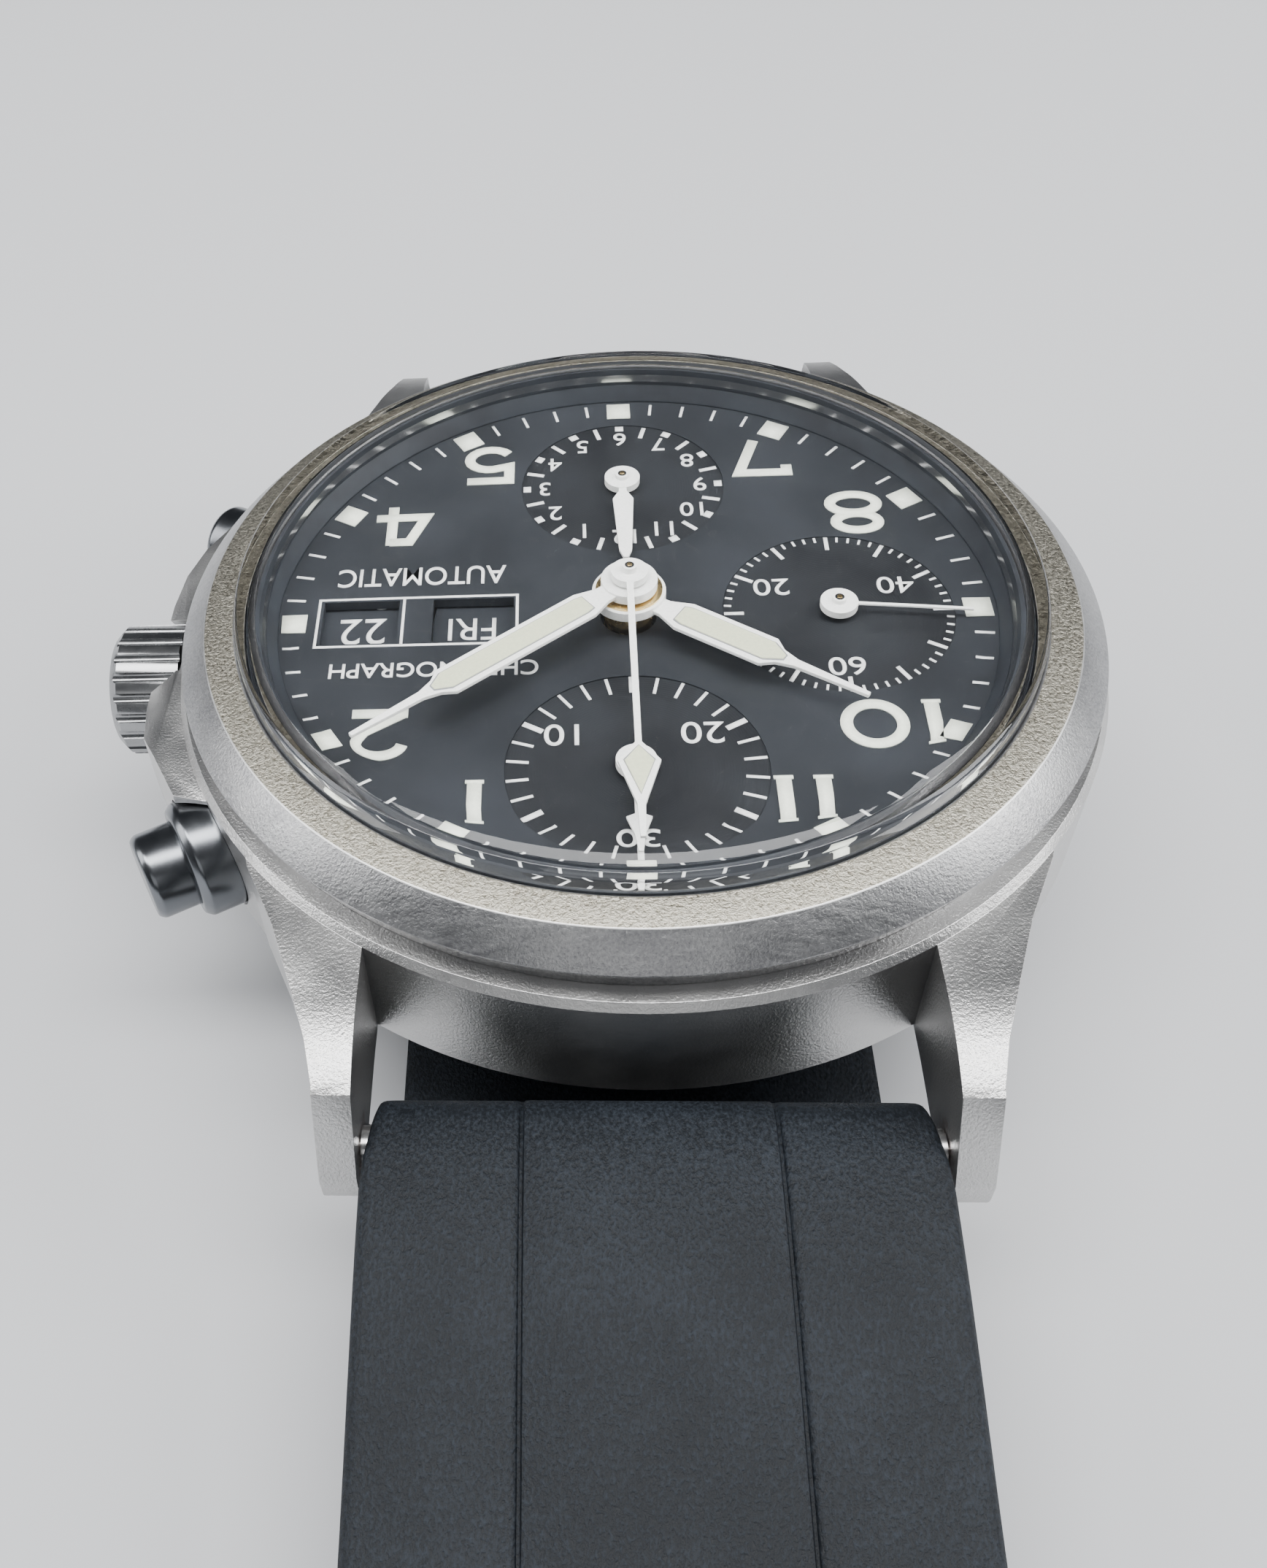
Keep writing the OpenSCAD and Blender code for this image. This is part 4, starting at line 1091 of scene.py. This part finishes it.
# %% Sweep a section
def sweep(name, stations, body, material):
    """stations: (y, z, slope, half thickness, half width), in millimetres and radians."""
    bm = bmesh.new()
    loops = []
    for y, z, slope_angle, thick, half_width in stations:
        out = Vector((0, -math.sin(slope_angle), math.cos(slope_angle)))
        loops.append([Vector((x, y, z)) + out * n for x, n in section(half_width, thick)])
    ring = [bm.verts.new(p * MM) for p in loops[0]]
    first = [bm.edges.new((ring[k - 1], ring[k])) for k in range(len(ring))]
    for loop in loops[1:]:
        ring = grow(bm, ring, True, [p * MM for p in loop])
    last = [bm.edges.get((ring[k - 1], ring[k])) for k in range(len(ring))]
    for end in (first, last):
        bmesh.ops.contextual_create(bm, geom=end)
    bmesh.ops.recalc_face_normals(bm, faces=bm.faces)
    piece = keep_piece(bm, name, body, material, sharp=50)
    print("swept", name, len(piece.data.polygons), "faces")
    return piece


def ease(t):
    u = min(1.0, max(0.0, t))
    return u * u * (3 - 2 * u)


print("sweep ready")

# %% [markdown]
# ## Buckle half
# It leaves its spring bar level, sags on to the free keeper's band and ends round the buckle's
# bar. Its corners by the lugs are cut back a little so that it clears the case as it turns.

# %% Buckle half of the strap
BAR_Y, BAR_Z, END_R = 21.9, HEAD_Z + 5.2, 1.6
TAIL_Y, BUCKLE_Y, END_Z = 75.0, 98.0, 1.65
KEEPER = 1.15
OVER_Z, LOW_Z = 2 * HALF + KEEPER + 0.24 + HALF, KEEPER + 0.12 + HALF
WIDE, TAPER = 9.85, 0.85


def sag(y):
    first_drop = (BAR_Z - OVER_Z) * ease((y - BAR_Y) / 18)
    second_drop = (OVER_Z - LOW_Z) * ease((y - TAIL_Y - 0.5) / 11)
    return BAR_Z - first_drop - second_drop - (LOW_Z - END_Z) * ease((y - BUCKLE_Y + 5) / 4)


def half_width_at(y):
    cut = 0.5 * (1 - min(1.0, max(0.0, (y - BAR_Y + END_R) / 3)))
    return WIDE - cut - TAPER * max(0.0, (y - BAR_Y - 1.4) / (BUCKLE_Y + 3 - BAR_Y - 1.4))


stations = []
for a in (80, 65, 50, 35, 20, 8):
    y = BAR_Y - END_R * math.sin(math.radians(a))
    stations.append((y, BAR_Z, 0.0, END_R * math.cos(math.radians(a)), half_width_at(y)))
for i in range(1, 77):
    y = BAR_Y + i
    thick = HALF + (END_R - HALF) * max(0.0, 1 - (y - BAR_Y) / 12)
    bend = math.atan2(sag(y + 0.2) - sag(y - 0.2), 0.4)
    stations.append((y, sag(y), bend, thick * math.cos(bend), half_width_at(y)))
for a in (20, 40, 60, 80):
    y = BUCKLE_Y + HALF * math.sin(math.radians(a))
    stations.append((y, END_Z, 0.0, HALF * math.cos(math.radians(a)), half_width_at(y)))
buckle_half = sweep("strap_with_buckle", stations, "strap_12", rubber)
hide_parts("strap_buckle_half")

# %% [markdown]
# ## Hole half
# The longer half goes round its spring bar, folds back under the case in a half circle, runs
# flat along the table and ends in a rounded tip. The same sweep follows all of that.

# %% Hole half of the strap
FOLD_Y, FOLD_R, TIP = -BAR_Y - 1.5, (BAR_Z - HALF) / 2, 6
stations = []
for a in (80, 65, 50, 35, 20, 8):
    y = -BAR_Y + END_R * math.sin(math.radians(a))
    stations.append((y, BAR_Z, 0.0, END_R * math.cos(math.radians(a)), WIDE))
for y in (-BAR_Y - 0.4, -BAR_Y - 0.9):
    stations.append((y, BAR_Z, 0.0, 1.5, WIDE))
for a in range(0, 181, 9):
    t = math.radians(a)
    stations.append((FOLD_Y - FOLD_R * math.sin(t), HALF + FOLD_R * (1 + math.cos(t)), t, HALF, WIDE))
for i in range(1, 96):
    y = FOLD_Y + i
    if y < TAIL_Y - TIP - 0.5:
        narrowed = WIDE - TAPER * max(0.0, (y + 20) / (TAIL_Y + 20))
        stations.append((y, HALF, math.pi, HALF, narrowed))
for a in range(0, 90, 9):
    t = math.radians(a)
    y = TAIL_Y - TIP + TIP * math.sin(t)
    narrowed = 9.05 * max(0.08, math.cos(t)) ** 0.6
    stations.append((y, HALF, math.pi, HALF * (1 - 0.35 * math.sin(t) ** 4), narrowed))
hole_half = sweep("strap_with_holes", stations, "strap_6", rubber)
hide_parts("strap_hole_half")

# %% [markdown]
# ## Holes for the tongue
# The tongue of the buckle needs a row of clean round holes. They are cut with a Boolean, applied
# at once, because round holes through a swept shape are exactly its job.

# %% Holes for the tongue
HOLES, HOLE_PITCH, HOLE_R = 7, 6.2, 1.1
bm = bmesh.new()
for i in range(HOLES):
    place = Matrix.Translation((0, (TAIL_Y - 14 - HOLE_PITCH * i) * MM, HALF * MM))
    bmesh.ops.create_cone(bm, cap_ends=True, segments=32, radius1=HOLE_R * MM, radius2=HOLE_R * MM,
                          depth=6 * MM, matrix=place)
cutter_mesh = bpy.data.meshes.new("tongue_holes")
bm.to_mesh(cutter_mesh)
bm.free()
cutter = bpy.data.objects.new("tongue_holes", cutter_mesh)
bpy.context.collection.objects.link(cutter)
cut = hole_half.modifiers.new("holes", "BOOLEAN")
cut.object = cutter
cut.operation = "DIFFERENCE"
cut.solver = "EXACT"
bpy.context.view_layer.update()
cut_half = hole_half.evaluated_get(bpy.context.evaluated_depsgraph_get())
drilled = bpy.data.meshes.new_from_object(cut_half)
hole_half.modifiers.clear()
hole_half.data = drilled
bpy.data.objects.remove(cutter)
print("holes cut,", len(drilled.polygons), "faces")

# %% [markdown]
# ## Keepers and buckle
# The rubber loops and the steel buckle are simple shapes that the fingers round off in years of
# wear, so they keep their CAD shapes with generously rounded edges.

# %% Keepers and buckle
softened_copy("keeper_loop_free", "free_keeper", "free_keeper", rubber, 0.35, 3)
softened_copy("keeper_loop_fixed", "fixed_keeper", "strap_12", rubber, 0.35, 3)
softened_copy("buckle_frame_soft", "buckle_frame", "buckle_frame", satin_side, 0.2, 3)
softened_copy("buckle_tongue_soft", "buckle_tongue", "buckle_tongue", satin_side, 0.15, 3)
